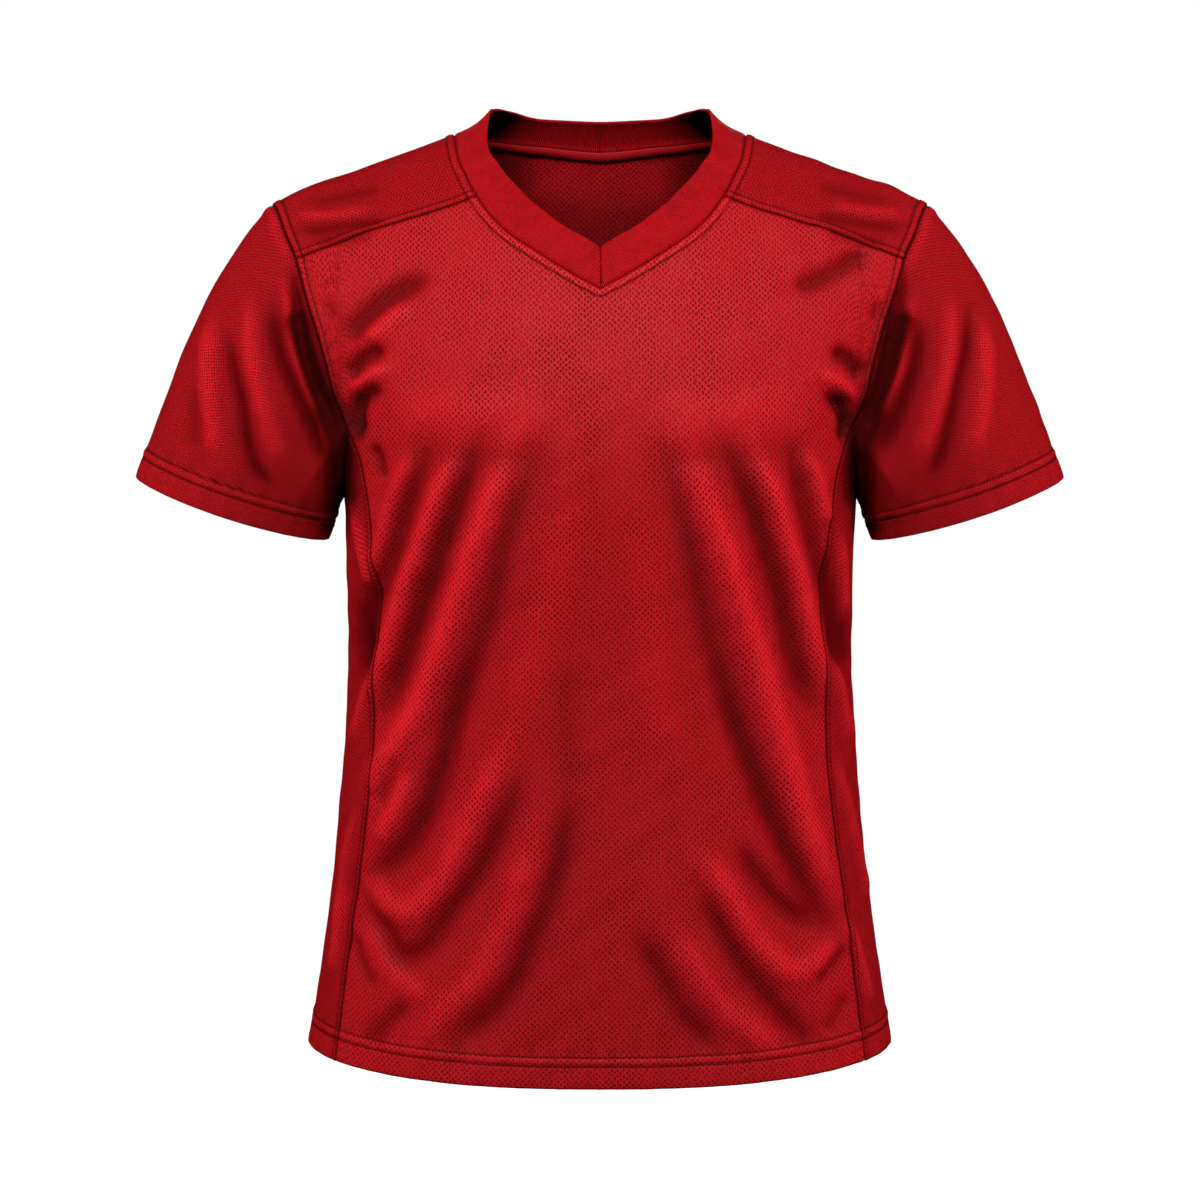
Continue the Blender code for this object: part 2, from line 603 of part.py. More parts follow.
def wall_mesh(piece, own, mitres):
    """Closed wall: the grid, a second one behind it, and a rim between their edges."""
    grid, closed, wall = piece["grid"], piece["closed"], piece["wall"]
    outer = grid + edge_pull(grid, mitres, closed)
    inner = outer - mitres * wall
    layers = [outer, inner]
    if piece["rounded"]:
        up = unit(outer[0] - outer[1])
        layers.append(((outer[0] + inner[0]) / 2 + up * wall * RIB_ROUND)[None])
    if closed:
        layers = [layer[:, :-1] for layer in layers]
    rows, columns = layers[0].shape[:2]
    points = np.concatenate([layer.reshape(-1, 3) for layer in layers])
    index = np.arange(rows * columns).reshape(rows, columns)
    index = np.c_[index, index[:, :1]] if closed else index
    behind = index + rows * columns
    edge = 2 * rows * columns + np.arange(columns)

    lean = own[:, :columns].reshape(-1, 3)
    lean = np.concatenate((lean, lean))
    plain = np.concatenate((grid[:, :columns], (grid - mitres * wall)[:, :columns])).reshape(-1, 3)
    plain = np.r_[plain, points[len(plain):]]

    def cells(corners, rim=False):
        """Two triangles for each cell, cut where the cloth bends least, or a rim's shorter way."""
        a, b = corners[:-1, :-1].ravel(), corners[1:, :-1].ravel()
        c, d = corners[1:, 1:].ravel(), corners[:-1, 1:].ravel()
        if rim:
            first = ((plain[a] - plain[c]) ** 2).sum(1) <= ((plain[b] - plain[d]) ** 2).sum(1)
        else:
            first = (lean[a] * lean[c]).sum(1) >= (lean[b] * lean[d]).sum(1)
        return np.concatenate((np.where(first[:, None], np.c_[a, b, c], np.c_[a, b, d]),
                               np.where(first[:, None], np.c_[a, c, d], np.c_[b, c, d])))

    faces = [cells(index), cells(behind)[:, ::-1], cells(np.stack((index[-1], behind[-1])), rim=True)]
    if piece["rounded"]:
        faces.append(cells(np.stack((behind[0], edge, index[0])), rim=True))
        faces.append([(edge[0], behind[0, 0], index[0, 0]), (edge[-1], index[0, -1], behind[0, -1])])
    else:
        faces.append(cells(np.stack((behind[0], index[0])), rim=True))
    if not closed:
        faces.append(cells(np.stack((behind[:, 0], index[:, 0]), 1), rim=True))
        faces.append(cells(np.stack((index[:, -1], behind[:, -1]), 1), rim=True))
    mesh = bpy.data.meshes.new(piece["name"])
    mesh.from_pydata(points.tolist(), [], np.concatenate(faces).tolist())
    mesh.update()
    return mesh


# ---- the garment --------------------------------------------------------------------------------

def cut_pieces():
    """Every sewn piece as its base grid, wall, finish and kind of edge."""
    pieces = []

    def add(name, grid, finish="mesh", wall=PANEL_WALL, closed=False, rounded=False):
        pieces.append({"name": name, "grid": grid, "finish": finish, "wall": wall,
                       "closed": closed, "rounded": rounded})

    add("front", body_panel(FRONT))
    add("back", body_panel(BACK))
    for name, grid, closed in (("side_panel", side_panel(), False), ("yoke", yoke_panel(), False),
                               ("sleeve", sleeve(), True)):
        add(name + "_left", grid, "satin", closed=closed)
        add(name + "_right", other_hand(grid), "satin", closed=closed)
    add("collar", collar(), "rib", RIB_WALL, rounded=True)
    return pieces


def neck_tape(back, mitres):
    """Tape inside the back, below the collar: the panel's top cells, moved in."""
    under_collar = slice(YOKE_CELLS, YOKE_CELLS + 2 * NECK_BACK_CELLS + 1)
    top, low = back["grid"][:2, under_collar]
    step_top, step_low = mitres[:2, under_collar]
    length = np.linalg.norm(low - top, axis=1, keepdims=True)
    share = np.array((TAPE_TOP, TAPE_REACH))[:, None, None] / length
    step = step_top * (1 - share) + step_low * share
    grid = top * (1 - share) + low * share - step * (PANEL_WALL + TAPE_STAND)
    piece = {"name": "neck_tape", "grid": grid, "finish": "tape", "wall": TAPE_WALL,
             "closed": False, "rounded": False}
    return piece, unit(step)


def material(finish):
    red, green, blue, roughness = FINISH[finish]
    found = bpy.data.materials.get(finish) or bpy.data.materials.new(finish)
    found.use_nodes = True
    shader = found.node_tree.nodes["Principled BSDF"]
    shader.inputs["Base Color"].default_value = (red, green, blue, 1)
    shader.inputs["Roughness"].default_value = roughness
    shader.inputs["Metallic"].default_value = 0
    found.diffuse_color = (red, green, blue, 1)
    return found


def place_piece(piece, own, mitres, collection):
    mesh = wall_mesh(piece, own, mitres)
    mesh.materials.append(material(piece["finish"]))
    mesh.shade_smooth()
    collection.objects.link(bpy.data.objects.new(piece["name"], mesh))


def main():
    for item in list(bpy.data.objects):
        bpy.data.objects.remove(item)
    collection = bpy.data.collections.new(NAME)
    bpy.context.scene.collection.children.link(collection)
    pieces = cut_pieces()
    for piece, mitres in zip(pieces, shared_normals(pieces)[1]):
        piece["grid"] = piece["grid"] + unit(mitres) * fold_rise(piece["grid"])[..., None]
    own, mitres = shared_normals(pieces)
    for piece, normals, steps in zip(pieces, own, mitres):
        place_piece(piece, normals, steps, collection)
    tape, normals = neck_tape(pieces[1], mitres[1])
    place_piece(tape, normals, normals, collection)


main()
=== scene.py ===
import bpy
import numpy as np
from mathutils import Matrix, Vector


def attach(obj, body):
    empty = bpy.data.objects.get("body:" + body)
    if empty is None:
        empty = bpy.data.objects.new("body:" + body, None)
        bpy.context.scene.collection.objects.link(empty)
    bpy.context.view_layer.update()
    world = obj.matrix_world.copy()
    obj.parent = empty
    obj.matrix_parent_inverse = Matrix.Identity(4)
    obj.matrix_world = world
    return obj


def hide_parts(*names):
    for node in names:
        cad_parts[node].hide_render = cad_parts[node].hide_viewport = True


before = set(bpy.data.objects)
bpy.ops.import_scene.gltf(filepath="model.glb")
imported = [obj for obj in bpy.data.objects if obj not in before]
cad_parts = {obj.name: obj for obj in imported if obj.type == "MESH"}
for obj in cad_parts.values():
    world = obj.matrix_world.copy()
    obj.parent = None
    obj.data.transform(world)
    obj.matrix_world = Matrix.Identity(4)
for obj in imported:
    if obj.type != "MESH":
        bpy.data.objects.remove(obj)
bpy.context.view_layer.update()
print("frame loaded:", len(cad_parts), "nodes")

front, back = -1, 1    # sign of Y on each side of the body

# The worn form. Metres, +Z up, the front faces -Y, the wearer's left is at +X.
body = {
    "squareness": 2.35,                            # 2 would make the sections ellipses
    "shoulderFall": {front: 0.300, back: 0.183},   # height over which the shoulder rounds
    "neckHalf": 0.118,
    "neckRise": 0.0455,
    # height, half width, front depth, back depth
    "sections": (
        (-0.7700, 0.2480, 0.1290, 0.1240),
        (-0.7311, 0.2395, 0.1270, 0.1215),
        (-0.6700, 0.2298, 0.1240, 0.1170),
        (-0.6093, 0.2210, 0.1210, 0.1130),
        (-0.5490, 0.2147, 0.1190, 0.1090),
        (-0.4890, 0.2096, 0.1190, 0.1080),
        (-0.4400, 0.2065, 0.1210, 0.1090),
        (-0.3895, 0.2063, 0.1250, 0.1130),
        (-0.3300, 0.2072, 0.1330, 0.1210),
        (-0.2876, 0.2090, 0.1370, 0.1265),
        (-0.2620, 0.2135, 0.1380, 0.1290),
        (-0.2360, 0.2200, 0.1375, 0.1305),
        (-0.2000, 0.2340, 0.1350, 0.1320),
        (-0.1500, 0.2560, 0.1280, 0.1320),
        (-0.1000, 0.2760, 0.1180, 0.1300),
        (-0.0500, 0.2930, 0.1080, 0.1270),
        (0.0400, 0.3100, 0.1000, 0.1250),
    ),
    # distance from the middle, height
    "shoulderLine": (
        (0.118, 0.0000), (0.139, -0.0080), (0.178, -0.0219), (0.217, -0.0351),
        (0.236, -0.0414), (0.255, -0.0509), (0.275, -0.0620),
    ),
}

# Where the cloth is cut. x and height, or x and turn round the shoulder line in degrees.
seams = {
    "underarm": -0.2876,
    "underarmSquareness": 2.2,
    "hemSide": -0.7420,
    "hemDip": -0.0122,
    "hemSquareness": 2.6,
    "yokeRow": 5,           # row of collarFront at the front yoke seam
    # seam x, seam height, fold edge x, fold edge height
    "collarFront": (
        (0.0000, -0.1230, 0.0000, -0.0909),
        (0.0206, -0.1118, 0.0110, -0.0840),
        (0.0448, -0.0971, 0.0310, -0.0727),
        (0.0692, -0.0815, 0.0520, -0.0565),
        (0.0852, -0.0670, 0.0645, -0.0445),
        (0.0974, -0.0507, 0.0732, -0.0355),
        (0.1060, -0.0348, 0.0815, -0.0245),
        (0.1140, -0.0165, 0.0908, -0.0080),
    ),
    # seam x, seam turn, fold edge x, fold edge turn
    "collarBack": (
        (0.1180, 0.0, 0.0878, 0.0),
        (0.1150, 11.5, 0.0838, 6.5),
        (0.1000, 22.5, 0.0730, 17.0),
        (0.0600, 37.5, 0.0480, 29.0),
        (0.0000, 45.5, 0.0000, 34.5),
    ),
    "armholeTop": ((0.2428, -35.5), (0.2545, -23.0), (0.2655, 0.0), (0.2635, 11.5)),
    # x and height in front, x and height behind
    "armhole": (
        (0.2361, -0.1255, 0.2540, -0.0900),
        (0.2262, -0.1550, 0.2415, -0.1250),
        (0.2180, -0.1830, 0.2300, -0.1620),
        (0.2115, -0.2100, 0.2185, -0.2000),
        (0.2014, -0.2350, 0.2020, -0.2350),
    ),
    "yokeSeam": ((0.2129, -0.0885), (0.1902, -0.0794), (0.1580, -0.0702), (0.1261, -0.0608)),
    # height, x in front, x behind
    "sideSeam": (
        (-0.2350, 0.2014, 0.2020),
        (-0.2562, 0.1915, 0.1935),
        (-0.2951, 0.1845, 0.1860),
        (-0.3406, 0.1805, 0.1810),
        (-0.3900, 0.1765, 0.1775),
        (-0.4360, 0.1808, 0.1780),
        (-0.5004, 0.1824, 0.1815),
        (-0.5596, 0.1895, 0.1870),
        (-0.6310, 0.1999, 0.1960),
        (-0.7405, 0.2143, 0.2110),
    ),
}

# How closely the cloth is meshed, in metres, the lengths that its rows and columns are spread
# over, and how many samples stand for a line
gridding = {
    "plain": 0.0031, "beside": 0.0012, "ramp": 0.009,
    "seamHold": 0.009, "hemHold": 0.029, "sideHold": 0.006,
    "sideLength": 0.46, "sideWidth": 0.16, "yokeLength": 0.105, "yokeWidth": 0.149, "sleeveLength": 0.26,
    "lengthSamples": 6000, "samplesPerPoint": 60,
    "neckSamples": 500, "armholeSamples": 400, "yokeSamples": 300, "ringSamples": 200,
}


def unit(vectors):
    return vectors / np.maximum(np.linalg.norm(vectors, axis=-1, keepdims=True), 1e-12)


# Length run along a line of points, from 0
def runLength(line):
    return np.r_[0, np.cumsum(np.linalg.norm(np.diff(line, axis=0), axis=1))]


# Smooth step: 0 below low, 1 above high, level at both
def ease(value, low, high):
    share = np.clip((value - low) / (high - low), 0, 1)
    return share * share * (3 - 2 * share)


# Cubic through values at rising stops, each slope taken from the neighbours
def smoothCurve(at, stops, values):
    stops, values = np.asarray(stops, float), np.asarray(values, float)
    slopes = np.gradient(values, stops, axis=0)
    at = np.clip(np.asarray(at, float), stops[0], stops[-1])
    low = np.clip(np.searchsorted(stops, at) - 1, 0, len(stops) - 2)
    span = stops[low + 1] - stops[low]
    part = (at - stops[low]) / span
    if values.ndim == 2:
        span, part = span[..., None], part[..., None]
    rest = 1 - part
    return (values[low] * rest**2 * (1 + 2 * part) + values[low + 1] * part**2 * (3 - 2 * part)
            + span * part * rest * (slopes[low] * rest - slopes[low + 1] * part))


# Shares 0 to 1 of a length: steps of "beside" near a dense end, growing to "plain" away from it
def gradedShares(length, startHold=None, endHold=None):
    place = np.linspace(0, length, gridding["lengthSamples"])
    close = np.full(len(place), 1.0)
    if startHold is not None:
        close = np.minimum(close, ease(place, startHold, startHold + gridding["ramp"]))
    if endHold is not None:
        close = np.minimum(close, ease(length - place, endHold, endHold + gridding["ramp"]))
    step = gridding["beside"] + (gridding["plain"] - gridding["beside"]) * close
    count = np.r_[0, np.cumsum((1 / step[1:] + 1 / step[:-1]) / 2 * np.diff(place))]
    cells = int(np.ceil(count[-1]))
    return np.interp(np.linspace(0, count[-1], cells + 1), count, place) / length


# Each column of a table, read between its rows
def valuesAt(at, stops, table):
    return np.stack([np.interp(at, stops, column) for column in table.T], 1)


# Points at shares of the length of the smooth curve through given points
def alongCurve(points, shares=None, startHold=None, endHold=None):
    points = np.asarray(points, float)
    chords = runLength(points)
    fine = smoothCurve(np.linspace(0, chords[-1], gridding["samplesPerPoint"] * len(points)), chords, points)
    length = runLength(fine)
    if shares is None:
        shares = gradedShares(length[-1], startHold, endHold)
    return valuesAt(shares * length[-1], length, fine)


# Grid between four edges: the straight blend across, plus the one down, less the corners' blend
def between(top, bottom, left, right, u, v):
    u, v = u[None, :, None], v[:, None, None]
    across = (1 - u) * left[:, None] + u * right[:, None]
    down = (1 - v) * top[None] + v * bottom[None]
    corners = (1 - v) * ((1 - u) * top[0] + u * top[-1]) + v * ((1 - u) * bottom[0] + u * bottom[-1])
    return across + down - corners


def section(height, column):
    rows = np.array(body["sections"])
    return smoothCurve(height, rows[:, 0], rows[:, column])


def depthAt(height, side):
    return np.where(np.asarray(side) < 0, section(height, 2), section(height, 3))


# Height of the shoulder line; inside the neck it rises as a parabola
def ridgeAt(x):
    away = np.abs(x)
    rows = np.array(body["shoulderLine"])
    neck = body["neckRise"] * (1 - (away / body["neckHalf"]) ** 2)
    return np.where(away < body["neckHalf"], neck, smoothCurve(away, rows[:, 0], rows[:, 1]))


def fallAt(side):
    return np.where(np.asarray(side) < 0, body["shoulderFall"][front], body["shoulderFall"][back])


# Height after turning round the shoulder: the ridge less fall times (1 - cos turn)
def heightAt(x, turn):
    return ridgeAt(x) - fallAt(turn) * (1 - np.cos(np.radians(turn)))


def turnAt(x, height, side):
    drop = np.clip((ridgeAt(x) - height) / fallAt(side), 0, 1)
    return np.sign(side) * np.degrees(np.arccos(1 - drop))


# Share of the depth left at x: (1 - (x / half width)^s)^(1 / s), s being the squareness
def flatnessAt(x, height):
    share = np.clip(np.abs(x) / section(height, 1), 0, 1)
    return (1 - share ** body["squareness"]) ** (1 / body["squareness"])


# The body: depth times flatness times the sine of the turn, at a height
def onShoulder(x, turn):
    height = heightAt(x, turn)
    return np.stack([x, depthAt(height, turn) * flatnessAt(x, height) * np.sin(np.radians(turn)), height], -1)


def onBody(x, height, side):
    turn = turnAt(x, height, side)
    return np.stack([x, depthAt(height, side) * flatnessAt(x, height) * np.sin(np.radians(turn)), height], -1)


# The +X side by angle: -90 is the middle front, 0 the side and 90 the middle back
def onSide(angle, height):
    return onBody(section(height, 1) * np.cos(np.radians(angle)) ** (2 / body["squareness"]), height, angle)


def sideAngle(x, height, side):
    share = np.clip(np.abs(x) / section(height, 1), 0, 1)
    return side * np.degrees(np.arccos(share ** (body["squareness"] / 2)))


def hemHeight(x):
    share = np.abs(x) / section(seams["hemSide"], 1)
    return seams["hemSide"] + seams["hemDip"] * (1 - share ** seams["hemSquareness"])


# x and turn round half the neck, on the seam or, with fold 1, on the fold edge, at row numbers
# from 0 at the centre front to the last at the centre back
def neckLine(fold, rows):
    ahead = np.array(seams["collarFront"])[:, 2 * fold:2 * fold + 2]
    behind = np.array(seams["collarBack"])[:, 2 * fold:2 * fold + 2]
    ahead = np.c_[ahead[:, 0], turnAt(ahead[:, 0], ahead[:, 1], front)]
    line = np.r_[ahead, behind, [behind[-2] * (-1, 1)]]
    return smoothCurve(rows, np.arange(len(line)), line)


ridgeRow = len(seams["collarFront"])
backYokeRow = ridgeRow + 1
centreBackRow = ridgeRow + len(seams["collarBack"]) - 1


# Row numbers between two rows, at even distances along the neck seam
def neckRows(first, last, step):
    rows = np.linspace(first, last, gridding["neckSamples"])
    length = runLength(onShoulder(*neckLine(0, rows).T))
    return np.interp(np.linspace(0, length[-1], int(np.ceil(length[-1] / step)) + 1), length, rows)


def armholeTop(shares=None):
    rows = np.array(seams["armholeTop"])
    steps = np.linspace(0, len(rows) - 1, gridding["armholeSamples"])
    fine = smoothCurve(steps, np.arange(len(rows)), rows)
    length = runLength(onShoulder(fine[:, 0], fine[:, 1]))
    if shares is None:
        shares = gradedShares(length[-1], gridding["seamHold"], 0)
    at = np.interp(shares * length[-1], length, steps)
    return smoothCurve(at, np.arange(len(rows)), rows)


def armholeEdge(side, shares=None):
    x, turn = seams["armholeTop"][0 if side == front else -1]
    columns = (2, 3) if side == back else (0, 1)
    points = np.r_[[(x, heightAt(x, turn))], np.array(seams["armhole"])[:, columns]]
    return alongCurve(points, shares, gridding["seamHold"], None)


def sideEdge(side, shares=None):
    rows = np.array(seams["sideSeam"])[:, (2 if side == back else 1, 0)]
    rows[-1, 1] = hemHeight(rows[-1, 0])
    return alongCurve(rows, shares, None, gridding["hemHold"])


# x and height along the front yoke seam, or x and turn along the back one, neck to armhole
def yokeEdge(side, shares=None):
    if side == front:
        neckX, neckTurn = neckLine(0, np.array([float(seams["yokeRow"])]))[0]
        x, turn = seams["armholeTop"][0]
        ends = (x, heightAt(x, turn)), (neckX, heightAt(neckX, neckTurn))
        points = np.array((ends[0],) + seams["yokeSeam"] + (ends[1],))
        return alongCurve(points[::-1], shares, gridding["seamHold"], gridding["seamHold"])
    ends = neckLine(0, np.array([float(backYokeRow)]))[0], np.array(seams["armholeTop"][-1])
    if shares is None:
        shares = gradedShares(gridding["yokeWidth"], gridding["seamHold"], gridding["seamHold"])
    return ends[0] + (ends[1] - ends[0]) * shares[:, None]


def flip(grid):
    return grid[:, ::-1] * np.array((-1, 1, 1))


# Front or back: neck and yoke seams above, armholes and side seams beside, the hem below
def bodyGrid(side):
    if side == front:
        neck = neckLine(0, neckRows(0, seams["yokeRow"], gridding["plain"]))
        yoke = yokeEdge(front)
    else:
        neck = neckLine(0, neckRows(centreBackRow, backYokeRow, gridding["plain"]))
        yoke = yokeEdge(back)
        yoke = np.c_[yoke[:, 0], heightAt(yoke[:, 0], yoke[:, 1])]
    neck = np.c_[neck[:, 0], heightAt(neck[:, 0], neck[:, 1])]
    halfTop = np.r_[neck[:-1], yoke]
    armhole = armholeEdge(side)
    right = np.r_[armhole[:-1], sideEdge(side)]
    mirror = np.array((-1, 1))
    halfShare = runLength(halfTop)
    halfShare = halfShare / halfShare[-1] / 2
    u = np.r_[0.5 - halfShare[:0:-1], 0.5 + halfShare]
    v = runLength(right)
    x = (2 * u - 1) * right[-1, 0]
    grid = between(np.r_[halfTop[:0:-1] * mirror, halfTop], np.c_[x, hemHeight(x)],
                   right * mirror, right, u, v / v[-1])
    points = onBody(grid[..., 0], grid[..., 1], side)
    marks = {"corner": len(yoke) - 1, "underarm": len(armhole) - 1}
    return (points if side == front else points[:, ::-1]), marks


# Angle and height along the top of the side panel, -1 at its front seam and 1 at its back seam
def underarmLine(share):
    ends = [sideEdge(side, np.array([0.0]))[0] for side in (front, back)]
    reach = [-sideAngle(ends[0][0], ends[0][1], front), sideAngle(ends[1][0], ends[1][1], back)]
    angle = share * np.where(share < 0, reach[0], reach[1])
    rise = ends[0][1] - seams["underarm"]
    return np.c_[angle, seams["underarm"] + rise * np.abs(share) ** seams["underarmSquareness"]]


def sideGrid():
    shares = gradedShares(gridding["sideLength"], None, gridding["hemHold"])
    edges = []
    for side in (front, back):
        line = sideEdge(side, shares)
        edges.append(np.c_[sideAngle(line[:, 0], line[:, 1], side), line[:, 1]])
    u = gradedShares(gridding["sideWidth"], gridding["sideHold"], gridding["sideHold"])
    top = underarmLine(2 * u - 1)
    angle = edges[0][-1, 0] + (edges[1][-1, 0] - edges[0][-1, 0]) * u
    level = hemHeight(onSide(angle, np.full(len(angle), seams["hemSide"]))[:, 0])
    level[0], level[-1] = edges[0][-1, 1], edges[1][-1, 1]
    grid = between(top, np.c_[angle, level], edges[0], edges[1], u, shares)
    return onSide(grid[..., 0], grid[..., 1]), {}


def yokeGrid():
    u = gradedShares(gridding["yokeWidth"], gridding["seamHold"], gridding["seamHold"])
    v = gradedShares(gridding["yokeLength"], gridding["seamHold"], gridding["seamHold"])[::-1]
    seam = yokeEdge(front, u)
    bottom = np.c_[seam[:, 0], turnAt(seam[:, 0], seam[:, 1], front)]
    rows = np.linspace(seams["yokeRow"], backYokeRow, gridding["yokeSamples"])
    length = runLength(onShoulder(*neckLine(0, rows).T))
    neck = neckLine(0, np.interp(v * length[-1], length, rows))
    grid = between(yokeEdge(back, u), bottom, neck, armholeTop(v), u, 1 - v)
    return onShoulder(grid[..., 0], grid[..., 1]), {}


sleeveCut = {
    "cuffX": 0.3003, "cuffHeight": -0.3020,
    "cuffHalf": 0.0822, "cuffDepth": 0.0600,
    "lean": 18.3,          # degrees that the cuff's plane rises outward
    "bow": 0.0035,
    # place round the armhole, then the direction in which the sleeve leaves it
    "leaving": (
        (0.000, 0.70, 0.00, -0.71), (0.125, 0.82, -0.22, -0.53), (0.250, 0.74, -0.36, -0.60),
        (0.375, 0.50, -0.36, -0.86), (0.500, 0.30, 0.00, -0.95), (0.625, 0.50, 0.36, -0.86),
        (0.750, 0.74, 0.36, -0.60), (0.875, 0.82, 0.22, -0.53), (1.000, 0.70, 0.00, -0.71),
    ),
    "arriving": (0.37, 0.0, -0.93),
    "step": 0.0029,
}


# The armhole as a ring of even steps, underarm, front, shoulder, back, underarm, and its ridge's place
def armholeRing():
    even = np.linspace(0, 1, gridding["ringSamples"])
    parts = [
        onSide(*underarmLine(-even).T),
        onBody(*armholeEdge(front, even[::-1]).T, front),
        onShoulder(*armholeTop(even).T),
        onBody(*armholeEdge(back, even).T, back),
        onSide(*underarmLine(even[::-1]).T),
    ]
    ring = np.concatenate([part[:-1] for part in parts] + [parts[-1][-1:]])
    length = runLength(ring)
    ridge = 2 * (len(even) - 1) + parts[2][:, 2].argmax()
    cells = int(length[-1] / sleeveCut["step"])
    at = np.linspace(0, length[-1], cells + 1)
    return valuesAt(at, length, ring), at, length[ridge]


# The sleeve: from each place of the armhole a cubic to the matching place of the oval cuff
def sleeveGrid():
    ring, at, ridge = armholeRing()
    place = 0.5 - np.interp(at, (0, ridge, at[-1]), (0, 0.5, 1))
    lean, turn = np.radians(sleeveCut["lean"]), 2 * np.pi * place
    out, ahead = sleeveCut["cuffHalf"] * np.cos(turn), sleeveCut["cuffDepth"] * np.sin(turn)
    cuff = np.stack([sleeveCut["cuffX"] + out * np.cos(lean), -ahead,
                     sleeveCut["cuffHeight"] + out * np.sin(lean) - sleeveCut["bow"] * np.sin(turn) ** 2], 1)
    leaving = np.array(sleeveCut["leaving"])
    leave = unit(smoothCurve(place % 1, leaving[:, 0], leaving[:, 1:]))
    reach = np.linalg.norm(cuff - ring, axis=1, keepdims=True)
    t = gradedShares(gridding["sleeveLength"], gridding["seamHold"], gridding["hemHold"])[:, None, None]
    grid = (ring * (1 + 2 * t) * (1 - t) ** 2 + leave * reach * t * (1 - t) ** 2
            + cuff * t**2 * (3 - 2 * t) - np.array(sleeveCut["arriving"]) * reach * t**2 * (1 - t))
    return grid, {}


# Its fold edge is softened over the shoulder, and its middle sags there
collarCut = {
    "step": 0.0024, "rows": 15, "wall": 0.0026, "crown": 0.0007,
    "softening": 15, "softRows": 2.0, "sag": 0.0040, "sagRows": 1.6,
    "mitreGroove": 0.0011, "mitreHalf": 0.0011,
}


# The rib band: straight from fold edge to seam, at even steps round the neck
def collarGrid():
    rows = neckRows(0, centreBackRow, collarCut["step"])
    fold, seam = neckLine(1, rows), neckLine(0, rows)
    soft = np.hanning(collarCut["softening"] + 2)[1:-1]
    padded = np.pad(fold, ((len(soft) // 2,) * 2, (0, 0)), mode="edge")
    softer = np.stack([np.convolve(padded[:, k], soft / soft.sum(), "valid") for k in (0, 1)], 1)
    turned = np.exp(-((rows - ridgeRow) / collarCut["softRows"]) ** 4)[:, None]
    fold = fold * (1 - turned) + softer * turned
    mirror = np.array((-1, 1))
    fold, seam = (np.r_[half[::-1] * mirror, half[1:]] for half in (fold, seam))
    share = np.linspace(0, 1, collarCut["rows"] + 1)[:, None, None]
    grid = fold * (1 - share) + seam * share
    return onShoulder(grid[..., 0], grid[..., 1]), {"rows": np.r_[rows[::-1], rows[1:]]}


# Normals of a grid that is seen from outside with rows running down and columns to the right
def gridNormals(grid, closed=False):
    if closed:
        ring = np.concatenate((grid[:, -2:-1], grid, grid[:, 1:2]), axis=1)
        across = ring[:, 2:] - ring[:, :-2]
    else:
        across = np.gradient(grid, axis=1)
    return unit(np.cross(np.gradient(grid, axis=0), across))


# Distance of each point of a grid from a line of points, and the length run to the nearest
# place, worked out for some thousands of points at a time
def awayFrom(grid, line, batch=6000):
    points = grid.reshape(-1, grid.shape[-1])
    start, step = line[:-1], np.diff(line, axis=0)
    square = np.maximum((step**2).sum(1), 1e-14)
    run = runLength(line)
    away, along = np.empty(len(points)), np.empty(len(points))
    for first in range(0, len(points), batch):
        some = slice(first, first + batch)
        offset = points[some, None] - start
        part = np.clip((offset * step).sum(2) / square, 0, 1)
        gap = ((offset - part[..., None] * step) ** 2).sum(2)
        nearest = gap.argmin(1)
        rows = np.arange(len(nearest))
        away[some] = np.sqrt(gap[rows, nearest])
        along[some] = run[nearest] + part[rows, nearest] * np.sqrt(square[nearest])
    return away.reshape(grid.shape[:-1]), along.reshape(grid.shape[:-1])


